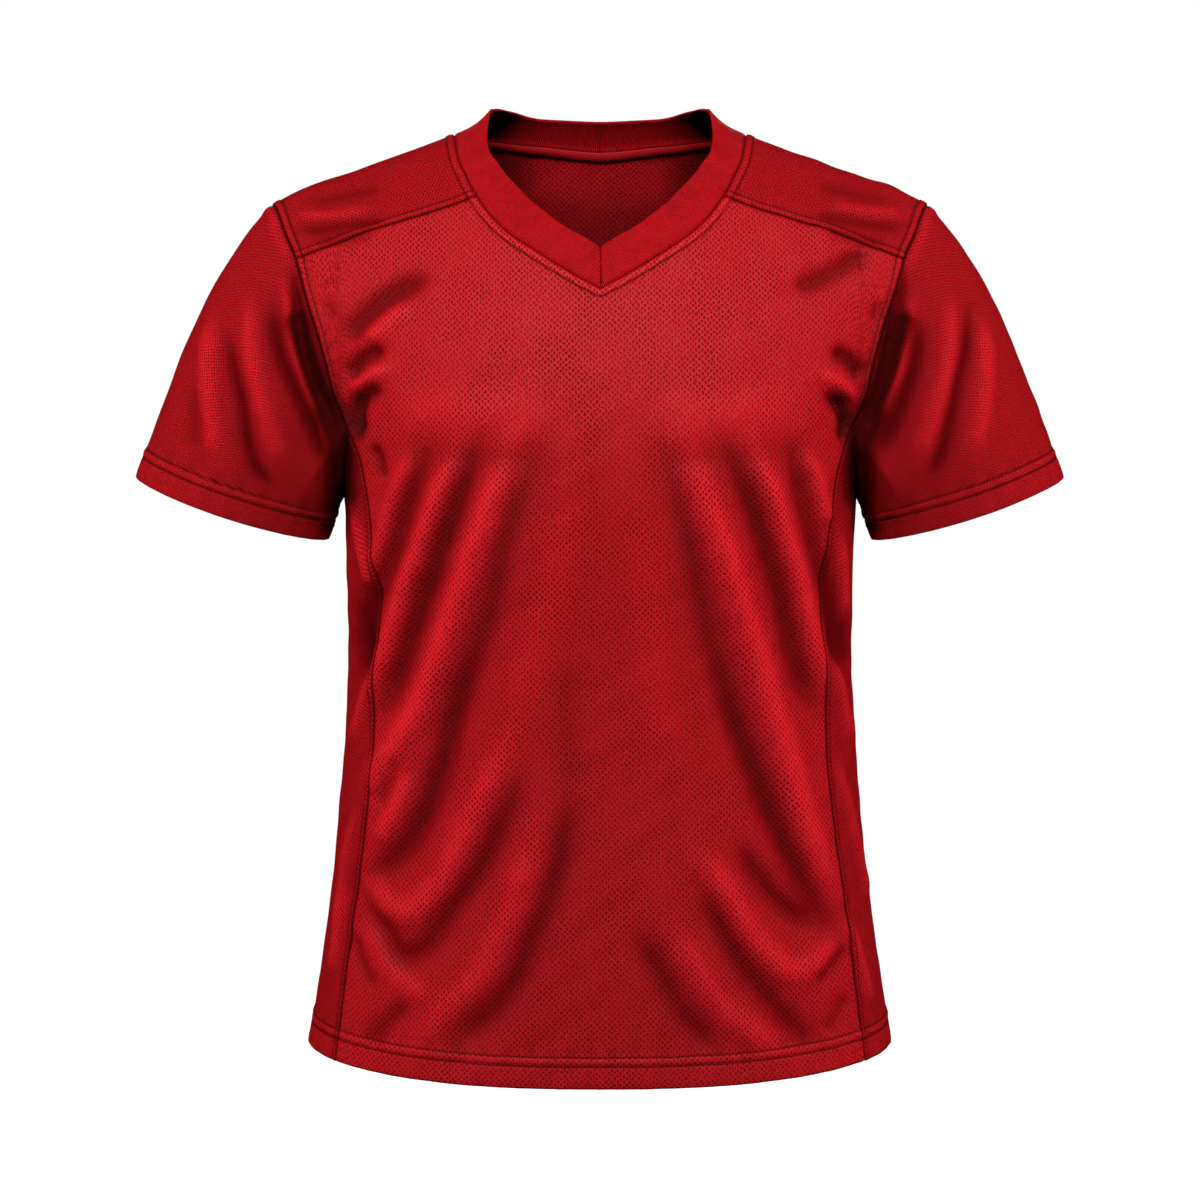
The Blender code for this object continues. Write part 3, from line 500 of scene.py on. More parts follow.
# Folds. x and height at three or more places along each, then the width and the rise of a soft
# ridge, or of a trough where the rise is below 0.
folds = {
    "ease": 0.030,           # they die out this close to the middle of the garment's side
    "grow": (-0.08, 0.26),   # shares of its length between which a fold grows
    "end": (0.85, 1.06),     # and between which it ends
    "depth": 1.5,            # how much deeper than the table's rise
    "narrow": 0.90,          # how much narrower than the table's width
    "ridge": 2.2,            # powers of a ridge's and a trough's section; 2 would make a plain bell
    "trough": 1.6,
    "points": 25,            # on each fold's line
    "room": 3.2,             # widths beyond which a fold isn't felt
    front: (
        (-0.180, -0.245, -0.176, -0.256, -0.172, -0.272, 0.006, -0.0038),
        (-0.147, -0.251, -0.157, -0.275, -0.164, -0.291, -0.170, -0.308,
         -0.175, -0.325, -0.182, -0.350, 0.007, 0.0024),
        (-0.133, -0.243, -0.151, -0.290, -0.162, -0.322, -0.175, -0.357,
         -0.182, -0.373, -0.188, -0.402, -0.191, -0.431, 0.009, -0.0048),
        (-0.110, -0.244, -0.128, -0.288, -0.139, -0.320, -0.152, -0.352,
         -0.162, -0.384, -0.173, -0.417, -0.181, -0.445, 0.009, 0.0034),
        (-0.092, -0.240, -0.111, -0.288, -0.123, -0.319, -0.133, -0.351, -0.145, -0.383,
         -0.157, -0.416, -0.169, -0.448, -0.176, -0.463, 0.01, -0.0052),
        (-0.067, -0.243, -0.095, -0.319, -0.116, -0.382, -0.127, -0.414, -0.139, -0.446,
         -0.157, -0.480, -0.177, -0.509, -0.187, -0.531, 0.011, 0.0040),
        (-0.042, -0.240, -0.073, -0.318, -0.087, -0.381, -0.110, -0.445, -0.128, -0.510,
         -0.142, -0.546, -0.169, -0.580, -0.186, -0.591, 0.012, -0.0026),
        (-0.094, -0.405, -0.110, -0.445, -0.128, -0.510, -0.142, -0.546,
         -0.151, -0.564, -0.171, -0.584, -0.191, -0.595, 0.01, -0.0024),
        (-0.023, -0.287, -0.031, -0.322, -0.039, -0.365, -0.051, -0.412, -0.064, -0.464, 0.016, 0.0012),
        (-0.161, -0.493, -0.168, -0.514, -0.179, -0.535, 0.007, -0.0022),
        (-0.152, -0.505, -0.159, -0.528, -0.167, -0.548, -0.179, -0.567, 0.009, 0.0026),
        (-0.064, -0.464, -0.084, -0.508, -0.101, -0.542, -0.116, -0.576, -0.131, -0.602,
         -0.155, -0.620, -0.171, -0.615, -0.182, -0.602, -0.192, -0.588, 0.012, 0.0024),
        (-0.061, -0.504, -0.075, -0.540, -0.090, -0.574, -0.117, -0.615, -0.143, -0.649,
         -0.158, -0.654, -0.173, -0.634, -0.184, -0.618, -0.193, -0.605, 0.011, -0.0034),
        (-0.044, -0.535, -0.055, -0.571, -0.066, -0.607, -0.079, -0.640,
         -0.100, -0.673, -0.127, -0.703, -0.148, -0.723, 0.013, 0.0020),
        (-0.191, -0.625, -0.179, -0.648, -0.169, -0.665, -0.153, -0.679, -0.133, -0.686, 0.01, 0.0017),
        (-0.022, -0.515, -0.033, -0.579, -0.053, -0.635, -0.078, -0.688,
         -0.095, -0.704, -0.119, -0.722, 0.012, -0.0030),
        (-0.152, -0.691, -0.170, -0.709, -0.187, -0.728, 0.008, -0.0024),
        (-0.200, -0.639, -0.193, -0.662, -0.182, -0.683, 0.006, -0.0020),
        (0.162, -0.251, 0.172, -0.275, 0.176, -0.291, 0.181, -0.310, 0.006, 0.0022),
        (0.148, -0.241, 0.159, -0.283, 0.171, -0.327, 0.184, -0.370,
         0.190, -0.406, 0.193, -0.431, 0.008, -0.0044),
        (0.118, -0.241, 0.135, -0.282, 0.148, -0.326, 0.156, -0.349,
         0.164, -0.381, 0.173, -0.410, 0.181, -0.441, 0.009, 0.0036),
        (0.095, -0.240, 0.115, -0.285, 0.137, -0.348, 0.147, -0.383,
         0.155, -0.416, 0.165, -0.443, 0.174, -0.462, 0.01, -0.0050),
        (0.063, -0.240, 0.090, -0.312, 0.112, -0.379, 0.131, -0.443, 0.143, -0.479,
         0.153, -0.514, 0.163, -0.547, 0.185, -0.608, 0.012, 0.0040),
        (0.044, -0.240, 0.069, -0.322, 0.083, -0.389, 0.102, -0.454, 0.115, -0.489,
         0.145, -0.561, 0.163, -0.596, 0.187, -0.636, 0.012, -0.0026),
        (0.091, -0.413, 0.102, -0.454, 0.115, -0.489, 0.129, -0.526, 0.145, -0.561,
         0.162, -0.596, 0.177, -0.624, 0.192, -0.642, 0.01, -0.0022),
        (0.109, -0.561, 0.121, -0.583, 0.134, -0.602, 0.150, -0.617, 0.175, -0.631, 0.01, -0.0034),
        (0.071, -0.564, 0.092, -0.588, 0.105, -0.611, 0.116, -0.631, 0.131, -0.650,
         0.155, -0.667, 0.175, -0.661, 0.190, -0.642, 0.012, 0.0026),
        (0.079, -0.596, 0.095, -0.627, 0.107, -0.650, 0.121, -0.672,
         0.139, -0.694, 0.159, -0.716, 0.173, -0.729, 0.011, -0.0032),
        (0.057, -0.623, 0.072, -0.656, 0.084, -0.676, 0.099, -0.695,
         0.120, -0.712, 0.146, -0.729, 0.012, 0.0020),
        (0.027, -0.631, 0.042, -0.654, 0.054, -0.676, 0.065, -0.695,
         0.080, -0.713, 0.092, -0.725, 0.012, -0.0026),
        (0.201, -0.652, 0.187, -0.664, 0.173, -0.678, 0.007, -0.0026),
        (0.201, -0.690, 0.193, -0.703, 0.182, -0.718, 0.007, -0.0020),
        (0.032, -0.302, 0.039, -0.397, 0.049, -0.491, 0.016, 0.0010),
        (-0.025, -0.412, -0.026, -0.460, -0.023, -0.515, 0.014, -0.0010),
        # the chest and beside the armholes
        (-0.166, -0.212, -0.132, -0.218, -0.093, -0.220, -0.042, -0.221, 0.02, 0.0009),
        (0.167, -0.212, 0.133, -0.218, 0.094, -0.220, 0.043, -0.221, 0.02, 0.0009),
        (-0.163, -0.248, -0.133, -0.253, -0.093, -0.254, -0.042, -0.256, 0.013, -0.0010),
        (0.164, -0.248, 0.133, -0.253, 0.094, -0.254, 0.043, -0.256, 0.013, -0.0010),
        (-0.133, -0.113, -0.158, -0.124, -0.176, -0.136, -0.191, -0.150, -0.202, -0.163, 0.0085, -0.0054),
        (-0.150, -0.135, -0.167, -0.148, -0.184, -0.164, 0.008, 0.0020),
        (-0.169, -0.169, -0.188, -0.179, -0.201, -0.193, 0.0065, -0.0058),
        (-0.166, -0.185, -0.181, -0.192, -0.196, -0.203, 0.006, 0.0022),
        (-0.171, -0.200, -0.187, -0.209, -0.193, -0.221, -0.191, -0.238, 0.0065, -0.0062),
        (-0.217, -0.133, -0.215, -0.139, -0.211, -0.147, 0.005, -0.0020),
        (0.216, -0.093, 0.194, -0.104, 0.178, -0.113, 0.153, -0.122, 0.0078, -0.0042),
        (0.182, -0.171, 0.200, -0.182, 0.209, -0.194, 0.0065, -0.0056),
        (0.173, -0.190, 0.189, -0.198, 0.201, -0.210, 0.006, 0.0022),
        (0.177, -0.205, 0.192, -0.217, 0.197, -0.230, 0.196, -0.243, 0.0065, -0.0060),
        (0.219, -0.134, 0.220, -0.141, 0.217, -0.149, 0.005, -0.0020),
        # sleeves
        (-0.248, -0.102, -0.242, -0.132, -0.236, -0.170, -0.227, -0.196,
         -0.217, -0.219, -0.208, -0.240, 0.006, -0.0056),
        (-0.253, -0.107, -0.247, -0.142, -0.242, -0.173, -0.235, -0.196,
         -0.224, -0.223, -0.216, -0.254, 0.005, 0.0032),
        (-0.262, -0.132, -0.256, -0.173, -0.246, -0.196, -0.236, -0.219,
         -0.228, -0.239, -0.222, -0.262, 0.007, -0.0034),
        (-0.279, -0.132, -0.276, -0.185, -0.270, -0.208, -0.262, -0.235, -0.253, -0.263, 0.0075, 0.0030),
        (-0.299, -0.156, -0.292, -0.188, -0.285, -0.215, -0.280, -0.247,
         -0.272, -0.270, -0.260, -0.282, 0.0065, -0.0028),
        (-0.312, -0.147, -0.314, -0.192, -0.310, -0.227, -0.304, -0.261, 0.0085, 0.0032),
        (-0.325, -0.200, -0.325, -0.223, -0.324, -0.251, 0.008, -0.0012),
        (0.246, -0.104, 0.237, -0.138, 0.229, -0.170, 0.226, -0.188,
         0.219, -0.211, 0.209, -0.237, 0.006, -0.0056),
        (0.249, -0.127, 0.243, -0.162, 0.238, -0.188, 0.228, -0.211, 0.218, -0.235, 0.005, 0.0032),
        (0.256, -0.147, 0.251, -0.181, 0.243, -0.208, 0.234, -0.231, 0.225, -0.254, 0.007, -0.0034),
        (0.279, -0.132, 0.276, -0.185, 0.269, -0.211, 0.261, -0.235, 0.252, -0.261, 0.0075, 0.0030),
        (0.298, -0.132, 0.292, -0.173, 0.285, -0.200, 0.279, -0.227,
         0.272, -0.254, 0.263, -0.275, 0.0065, -0.0028),
        (0.305, -0.147, 0.308, -0.180, 0.305, -0.219, 0.296, -0.256, 0.0085, 0.0032),
        # yokes
        (-0.246, -0.076, -0.222, -0.076, -0.198, -0.072, -0.170, -0.069, 0.0055, -0.0022),
        (-0.244, -0.065, -0.214, -0.065, -0.182, -0.062, 0.0055, 0.0016),
        (-0.230, -0.087, -0.206, -0.085, -0.181, -0.080, 0.005, -0.0014),
        (-0.238, -0.054, -0.206, -0.049, -0.174, -0.043, 0.007, -0.0014),
        (0.247, -0.074, 0.223, -0.073, 0.201, -0.069, 0.171, -0.065, 0.0055, -0.0022),
        (0.245, -0.064, 0.215, -0.062, 0.183, -0.058, 0.0055, 0.0016),
        (0.231, -0.087, 0.207, -0.084, 0.182, -0.078, 0.005, -0.0014),
        (0.237, -0.053, 0.205, -0.047, 0.173, -0.041, 0.007, -0.0014),
        # side panels
        (-0.198, -0.302, -0.191, -0.331, -0.183, -0.361, 0.0045, 0.0026),
        (-0.202, -0.490, -0.192, -0.461, -0.183, -0.433, 0.0045, 0.0026),
        (-0.196, -0.542, -0.206, -0.577, -0.210, -0.601, -0.213, -0.647, 0.0045, 0.0019),
        (-0.207, -0.610, -0.213, -0.643, -0.219, -0.677, 0.0045, 0.0024),
        (-0.195, -0.373, -0.190, -0.405, -0.188, -0.428, 0.0055, -0.0020),
        (0.193, -0.321, 0.196, -0.357, 0.198, -0.386, 0.0045, 0.0024),
        (0.187, -0.417, 0.196, -0.454, 0.205, -0.490, 0.0045, 0.0026),
        (0.189, -0.500, 0.205, -0.556, 0.216, -0.601, 0.222, -0.623, 0.0045, 0.0019),
        (0.201, -0.629, 0.210, -0.663, 0.220, -0.702, 0.0045, 0.0026),
        (0.196, -0.389, 0.198, -0.405, 0.202, -0.425, 0.0055, -0.0020),
    ),
    back: (
        (-0.190, -0.285, -0.150, -0.340, -0.095, -0.430, 0.014, -0.0050),
        (-0.165, -0.270, -0.120, -0.345, -0.065, -0.450, 0.014, 0.0040),
        (-0.185, -0.330, -0.160, -0.390, -0.115, -0.480, 0.013, 0.0038),
        (-0.172, -0.410, -0.140, -0.500, -0.085, -0.600, 0.014, -0.0042),
        (-0.180, -0.480, -0.150, -0.560, -0.105, -0.650, 0.014, 0.0038),
        (-0.185, -0.570, -0.150, -0.635, -0.105, -0.700, 0.013, -0.0035),
        (0.185, -0.280, 0.150, -0.350, 0.090, -0.440, 0.014, -0.0050),
        (0.165, -0.265, 0.115, -0.350, 0.060, -0.440, 0.014, 0.0040),
        (0.188, -0.345, 0.160, -0.410, 0.110, -0.500, 0.013, 0.0038),
        (0.172, -0.430, 0.142, -0.510, 0.095, -0.610, 0.014, -0.0042),
        (0.182, -0.505, 0.152, -0.580, 0.110, -0.665, 0.014, 0.0038),
        (0.188, -0.600, 0.155, -0.655, 0.120, -0.712, 0.013, -0.0035),
        (-0.030, -0.300, -0.036, -0.450, -0.030, -0.600, 0.018, -0.0028),
        (0.028, -0.330, 0.036, -0.480, 0.024, -0.640, 0.018, -0.0028),
        (-0.252, -0.112, -0.236, -0.172, -0.213, -0.250, 0.0085, -0.0044),
        (-0.265, -0.104, -0.254, -0.165, -0.230, -0.240, 0.009, 0.0028),
        (-0.276, -0.126, -0.262, -0.196, -0.238, -0.266, 0.010, -0.0030),
        (-0.290, -0.130, -0.281, -0.200, -0.254, -0.276, 0.012, 0.0034),
        (-0.306, -0.146, -0.296, -0.214, -0.270, -0.286, 0.011, -0.0026),
        (0.251, -0.108, 0.235, -0.176, 0.212, -0.254, 0.0085, -0.0044),
        (0.264, -0.110, 0.253, -0.170, 0.228, -0.244, 0.009, 0.0028),
        (0.274, -0.120, 0.261, -0.188, 0.235, -0.262, 0.010, -0.0030),
        (0.288, -0.135, 0.279, -0.205, 0.252, -0.280, 0.012, 0.0034),
        (0.304, -0.138, 0.295, -0.206, 0.268, -0.280, 0.011, -0.0028),
        (-0.150, -0.122, -0.188, -0.146, -0.214, -0.188, 0.009, -0.0030),
        (-0.150, -0.166, -0.182, -0.186, -0.202, -0.222, 0.009, -0.0030),
        (0.142, -0.116, 0.184, -0.140, 0.216, -0.180, 0.009, -0.0030),
        (0.156, -0.172, 0.184, -0.190, 0.203, -0.228, 0.009, -0.0030),
        (-0.186, -0.340, -0.193, -0.372, -0.201, -0.398, 0.0050, -0.0016),
        (-0.189, -0.452, -0.197, -0.492, -0.207, -0.530, 0.0050, -0.0018),
        (-0.193, -0.566, -0.202, -0.602, -0.213, -0.640, 0.0050, -0.0016),
        (0.186, -0.356, 0.193, -0.390, 0.202, -0.420, 0.0050, -0.0016),
        (0.188, -0.470, 0.197, -0.506, 0.207, -0.548, 0.0050, -0.0018),
        (0.195, -0.590, 0.204, -0.620, 0.215, -0.656, 0.0050, -0.0016),
    ),
}


# A smooth line through places given as x, height, x, height and so on
def lineThrough(places, count):
    places = np.reshape(places, (-1, 2))
    chords = runLength(places)
    return smoothCurve(np.linspace(0, chords[-1], count), chords, places)


# Rise of the cloth: for each fold a bell across the line through its places, growing slowly from
# its first place and ending sooner at its last, eased to 0 at the garment's sides
def foldRise(points):
    flat = points.reshape(-1, 3)
    rise = np.zeros(len(flat))
    for side in (front, back):
        settle = ease(side * flat[:, 1], 0, folds["ease"])
        for *places, width, height in folds[side]:
            line = lineThrough(places, folds["points"])
            room = folds["room"] * width
            low, high = line.min(0) - room, line.max(0) + room
            place = flat[:, (0, 2)]
            close = np.flatnonzero((settle > 0) & (place > low).all(1) & (place < high).all(1))
            offset = place[close, None] - line[:-1]
            step = np.diff(line, axis=0)
            part = np.clip((offset * step).sum(2) / (step**2).sum(1), 0, 1)
            away = np.linalg.norm(offset - part[..., None] * step, axis=2)
            nearest = away.argmin(1)
            rows = np.arange(len(close))
            reached = (nearest + part[rows, nearest]) / len(step)
            taper = ease(reached, *folds["grow"]) * (1 - ease(reached, *folds["end"]))
            power = folds["ridge"] if height > 0 else folds["trough"]
            across = np.exp(-(away[rows, nearest] / (width * folds["narrow"])) ** power)
            rise[close] += settle[close] * height * folds["depth"] * taper * across
    return rise.reshape(points.shape[:-1])


# Slight unevenness of hanging cloth: a sum of slow sine waves with mixed directions
looseness = {
    "seed": 11, "waves": 14, "rise": 0.000364, "shortest": 0.022, "longest": 0.085,
    "slope": 1.3,    # radians that a wave may lean up or down
    "ahead": 0.6,    # how much less it varies from front to back
}


def looseWaves(points):
    dice = np.random.default_rng(looseness["seed"])
    total = np.zeros(points.shape[:-1])
    for wave in range(looseness["waves"]):
        length = dice.uniform(looseness["shortest"], looseness["longest"])
        slope = dice.uniform(-looseness["slope"], looseness["slope"])
        lean = np.array((np.cos(slope), looseness["ahead"] * np.cos(slope), np.sin(slope)))
        total += np.sin(points @ lean * 2 * np.pi / length + dice.uniform(0, 6.3))
    return total * looseness["rise"] / np.sqrt(looseness["waves"])


# Beside a seam the cloth dips to it, and a strip is raised by the allowance under it as far as
# the stitch line, where the thread pulls a small dent
strips = {
    "groove": 0.0010, "grooveWidth": 0.0012,
    "rise": 0.0011, "swell": 0.0014, "edge": (-0.0006, 0.0014),
    "dent": 0.00055, "dentWidth": 0.0009,
    "pucker": 0.00016, "puckerLength": 0.0085, "puckerReach": 0.004,
    "puckerSway": 1.7, "swayPerMetre": 90,
    "neck": 0.0066, "armhole": 0.0066, "yoke": 0.0055, "side": 0.0033,
    "sleeveRoll": 0.0016, "sleeveRollAway": 0.0060, "sleeveRollWidth": 0.0045,
}


# Bell: e to the power of minus (distance / reach)^2
def bell(away, reach):
    return np.exp(-(away / reach) ** 2)


# A sine wave along a line, its phase swaying as a slower sine
def sewnWave(along, length, sway, swayPerMetre):
    return np.sin(2 * np.pi * along / length + sway * np.sin(along * swayPerMetre))


# Rise beside a seam: less a bell at it, and where a strip is given, plus the strip from the seam
# to its stitch line, less a bell at that line, plus a wave that dies out away from the line
def besideSeam(away, along, width):
    rise = -strips["groove"] * bell(away, strips["grooveWidth"])
    if width:
        edge = 1 - ease(away - width, *strips["edge"])
        wave = sewnWave(along, strips["puckerLength"], strips["puckerSway"], strips["swayPerMetre"])
        rise += strips["rise"] * edge * ease(away, 0, strips["swell"])
        rise -= strips["dent"] * bell(away - width, strips["dentWidth"])
        rise += strips["pucker"] * wave * bell(away - width, strips["puckerReach"])
    return rise


# The turned-up hem: slightly full below, a low roll between its two stitch lines
hems = {
    "lines": (0.0176, 0.0250), "dent": 0.0007, "dentWidth": 0.0011,
    "rise": 0.0006, "swell": (-0.004, 0.006), "edge": 0.003,
    "roll": 0.0005, "rollWidth": 0.0030,
    "wave": 0.00022, "waveLength": 0.019, "waveReach": 0.012, "waveSway": 2.3, "swayPerMetre": 31,
}


# Rise of the hem: a step that ends above its upper stitch line, plus a bell between the lines,
# less a bell at each, plus a slow wave
def turnedHem(away, along):
    low, high = hems["lines"]
    rise = hems["rise"] * (1 - ease(away, high, high + hems["edge"])) * ease(away, *hems["swell"])
    rise += hems["roll"] * bell(away - (low + high) / 2, hems["rollWidth"])
    for line in hems["lines"]:
        rise -= hems["dent"] * bell(away - line, hems["dentWidth"])
    wave = sewnWave(along, hems["waveLength"], hems["waveSway"], hems["swayPerMetre"])
    return rise + hems["wave"] * wave * (1 - ease(away, high, high + hems["waveReach"]))


# The relief attribute, from which the materials paint shade in hollows and highlight on crests: the
# rise of a fold, a dip and a strip that counts as 1, then the painted shade that a row of stitches,
# a seam and the armhole take off
reliefOf = {"fold": 0.0052, "dip": 0.0011, "strip": 0.0050, "sewn": 0.9, "seam": 0.5, "armhole": 1.6}

# Hollows that hardly any light reaches: places as in the folds' table, then reach and darkness,
# the same at both underarms, front and back
shades = {
    "points": 13, "room": 3,
    "lines": (
        (0.240, -0.150, 0.233, -0.172, 0.225, -0.197, 0.215, -0.224, 0.0072, 4.0),
        (0.214, -0.224, 0.208, -0.243, 0.206, -0.261, 0.207, -0.283, 0.01, 3.6),
        (0.213, -0.297, 0.216, -0.307, 0.220, -0.317, 0.006, 1.8),
        (0.192, -0.211, 0.194, -0.223, 0.192, -0.237, 0.0048, 2.0),
    ),
}


# The shade of both underarms: a bell across the line through each one's places
def underarmShade(points):
    flat = np.abs(points.reshape(-1, 3))[:, (0, 2)]
    total = np.zeros(len(flat))
    for *places, reach, darkness in shades["lines"]:
        line = np.abs(lineThrough(places, shades["points"]))
        room = shades["room"] * reach
        close = np.flatnonzero((flat > line.min(0) - room).all(1) & (flat < line.max(0) + room).all(1))
        total[close] += darkness * bell(awayFrom(flat[close], line)[0], reach)
    return total.reshape(points.shape[:-1])


# The same for inner faces seen through the neck: where the back panel's shade begins, where it
# is full and how dark, down and sideways, and the collar's middle row behind the shoulder line,
# the reach in rows and how dark
insideShades = {"low": (0.030, 0.095, 1.6), "beside": (0.045, 0.085, 1.3), "collar": (1.4, 1.2, 3.4)}


def insideShade(name, piece):
    shape = piece["grid"].shape[:2]
    if name == "backPanel":
        x, height = np.abs(piece["grid"][..., 0]), piece["grid"][..., 2]
        (near, far, low), (inner, outer, beside) = insideShades["low"], insideShades["beside"]
        return low * ease(-height, near, far) + beside * ease(x, inner, outer)
    if name == "collarBand":
        middle, reach, darkness = insideShades["collar"]
        shade = darkness * bell(piece["marks"]["rows"] - ridgeRow - middle, reach)
        return np.broadcast_to(shade, shape)
    return np.zeros(shape)


# Base grids of all the pieces; the right ones are the left ones mirrored
pieces = {}
for name, (grid, marks), closed in (
        ("frontPanel", bodyGrid(front), False), ("backPanel", bodyGrid(back), False),
        ("sidePanelLeft", sideGrid(), False), ("yokeLeft", yokeGrid(), False),
        ("sleeveLeft", sleeveGrid(), True), ("collarBand", collarGrid(), False)):
    pieces[name] = {"grid": grid, "marks": marks, "closed": closed}
    if name.endswith("Left"):
        pieces[name.replace("Left", "Right")] = {"grid": flip(grid), "marks": marks, "closed": closed}
for piece in pieces.values():
    piece["normals"] = gridNormals(piece["grid"], piece["closed"])
print("base grids:", {name: piece["grid"].shape[:2] for name, piece in pieces.items()})


# Where a sleeve meets the body the cloth moves along one shared direction, halfway between them
def armholeMitre(word):
    sleeve = pieces["sleeve" + word]
    ring = sleeve["grid"][0]
    points, leans = [], []
    for name in ("frontPanel", "backPanel", "sidePanel" + word, "yoke" + word):
        grid, normals = pieces[name]["grid"], pieces[name]["normals"]
        for edge in (np.s_[0], np.s_[:, 0], np.s_[:, -1]):
            points.append(grid[edge])
            leans.append(normals[edge])
    points, leans = np.concatenate(points), np.concatenate(leans)
    nearest = ((ring[:, None] - points) ** 2).sum(2).argmin(1)
    return ring, unit(leans[nearest] + sleeve["normals"][0])


mitres = {word: armholeMitre(word) for word in ("Left", "Right")}
mitreReach = 0.016


# The direction in which each point of a piece is moved
def outward(name, piece):
    lean = piece["normals"]
    for word, (ring, mitre) in mitres.items():
        if name in ("frontPanel", "backPanel") or name.endswith(word):
            away, along = awayFrom(piece["grid"], ring)
            shared = valuesAt(along.ravel(), runLength(ring), mitre).reshape(lean.shape)
            weight = (1 - ease(away, 0, mitreReach))[..., None]
            lean = lean * (1 - weight) + shared * weight
    return unit(lean)


for name, piece in pieces.items():
    piece["outward"] = outward(name, piece)
    rise = foldRise(piece["grid"])
    # the folds' rise paints shade and highlight, and the underarms' painted shade is taken off
    piece["relief"] = rise / reliefOf["fold"] - underarmShade(piece["grid"])
    if name != "collarBand":
        rise = rise + looseWaves(piece["grid"])
    piece["folded"] = piece["grid"] + piece["outward"] * rise[..., None]
print("folds laid")


# The seam lines round a piece, each with its strip's width, or "hem"
def edgesOf(name, piece):
    grid = piece["grid"]
    if name in ("frontPanel", "backPanel"):
        corner, underarm = piece["marks"]["corner"], piece["marks"]["underarm"]
        return {
            "neck": (grid[0, corner:grid.shape[1] - corner], strips["neck"]),
            "yokeA": (grid[0, :corner + 1], 0), "yokeB": (grid[0, -corner - 1:], 0),
            "armholeA": (grid[:underarm + 1, 0], strips["armhole"]),
            "armholeB": (grid[:underarm + 1, -1], strips["armhole"]),
            "sideA": (grid[underarm:, 0], 0), "sideB": (grid[underarm:, -1], 0),
            "hem": (grid[-1], "hem"),
        }
    if name.startswith("sidePanel"):
        return {"armhole": (grid[0], 0), "sideA": (grid[:, 0], strips["side"]),
                "sideB": (grid[:, -1], strips["side"]), "hem": (grid[-1], "hem")}
    if name.startswith("yoke"):
        neck, armhole = (0, -1) if name.endswith("Left") else (-1, 0)
        return {"neck": (grid[:, neck], strips["neck"]), "armhole": (grid[:, armhole], strips["armhole"]),
                "front": (grid[-1], strips["yoke"]), "back": (grid[0], strips["yoke"])}
    if name.startswith("sleeve"):
        return {"armhole": (grid[0], 0), "hem": (grid[-1], "hem")}
    return {"neck": (grid[-1], 0)}


# Walls: cloth alone, cloth over a seam allowance, and the doubled hem. The last two end between
# two distances, the hem's measured from its upper stitch line.
walls = {"cloth": 0.0009, "seam": 0.0017, "seamEnd": (0.006, 0.008), "hem": 0.0019, "hemEnd": (0.001, 0.003)}
# The dark line along a row of stitches is painted shade, in the dent that the thread pulls
stitchDark = 0.0008    # half width of the dark line that a row of stitches makes


# Distances of a seam's stitch lines from it
def sewnLines(kind):
    if kind == "hem":
        return hems["lines"]
    return (kind,) if kind else ()


for name, piece in pieces.items():
    rise = np.zeros(piece["grid"].shape[:2])
    # painted shade along stitch lines, seams and the armhole, taken off the relief
    lines = np.zeros(rise.shape)
    wall = np.full(rise.shape, walls["cloth"])
    piece["away"] = {}
    for edge, (line, kind) in edgesOf(name, piece).items():
        away, along = awayFrom(piece["grid"], line)
        piece["away"][edge] = away
        for sewn in sewnLines(kind):
            # painted shade along a stitch line
            lines += reliefOf["sewn"] * bell(away - sewn, stitchDark)
        if kind == "hem":
            rise += turnedHem(away, along)
            doubled = 1 - ease(away - hems["lines"][1], *walls["hemEnd"])
            wall = np.maximum(wall, walls["cloth"] + (walls["hem"] - walls["cloth"]) * doubled)
        else:
            rise += besideSeam(away, along, kind)
            # painted shade in the seam's groove, darkest at the armhole
            darkness = reliefOf["armhole" if edge.startswith("armhole") else "seam"]
            lines += darkness * bell(away, strips["grooveWidth"])
            under = 1 - ease(away, *walls["seamEnd"])
            wall = np.maximum(wall, walls["cloth"] + (walls["seam"] - walls["cloth"]) * under)
            if name.startswith("sleeve"):
                roll = bell(away - strips["sleeveRollAway"], strips["sleeveRollWidth"])
                rise += strips["sleeveRoll"] * roll
    if name == "collarBand":
        share = np.linspace(-1, 1, rise.shape[0])[:, None]
        rise += collarCut["crown"] * (1 - share**4)
        sag = bell(piece["marks"]["rows"] - ridgeRow, collarCut["sagRows"]) * collarCut["sag"] * (1 - share**2)
        piece["folded"] = piece["folded"] - piece["outward"] * sag[..., None]
        ahead = piece["grid"][..., 1] < 0
        rise -= collarCut["mitreGroove"] * bell(piece["grid"][..., 0], collarCut["mitreHalf"]) * ahead
        wall[:] = collarCut["wall"]
    # raised strips paint highlight and dips paint shade, then the painted shade of seams and stitches is taken
    # off
    piece["relief"] = piece["relief"] + np.where(rise < 0, rise / reliefOf["dip"], rise / reliefOf["strip"])
    piece["relief"] -= lines
    piece["outer"] = piece["folded"] + piece["outward"] * rise[..., None]
    piece["outerNormals"] = gridNormals(piece["outer"], piece["closed"])
    piece["inner"] = piece["outer"] - piece["outward"] * wall[..., None]
print("seams and hems shaped")


# Neck tape: the back panel's cloth below the collar, moved in, crowned across its height
tapeCut = {
    "top": 0.0008, "reach": 0.0092, "rows": 8, "panelRows": 24,
    "away": 0.0022, "wall": 0.0012, "crown": 0.0010,
}


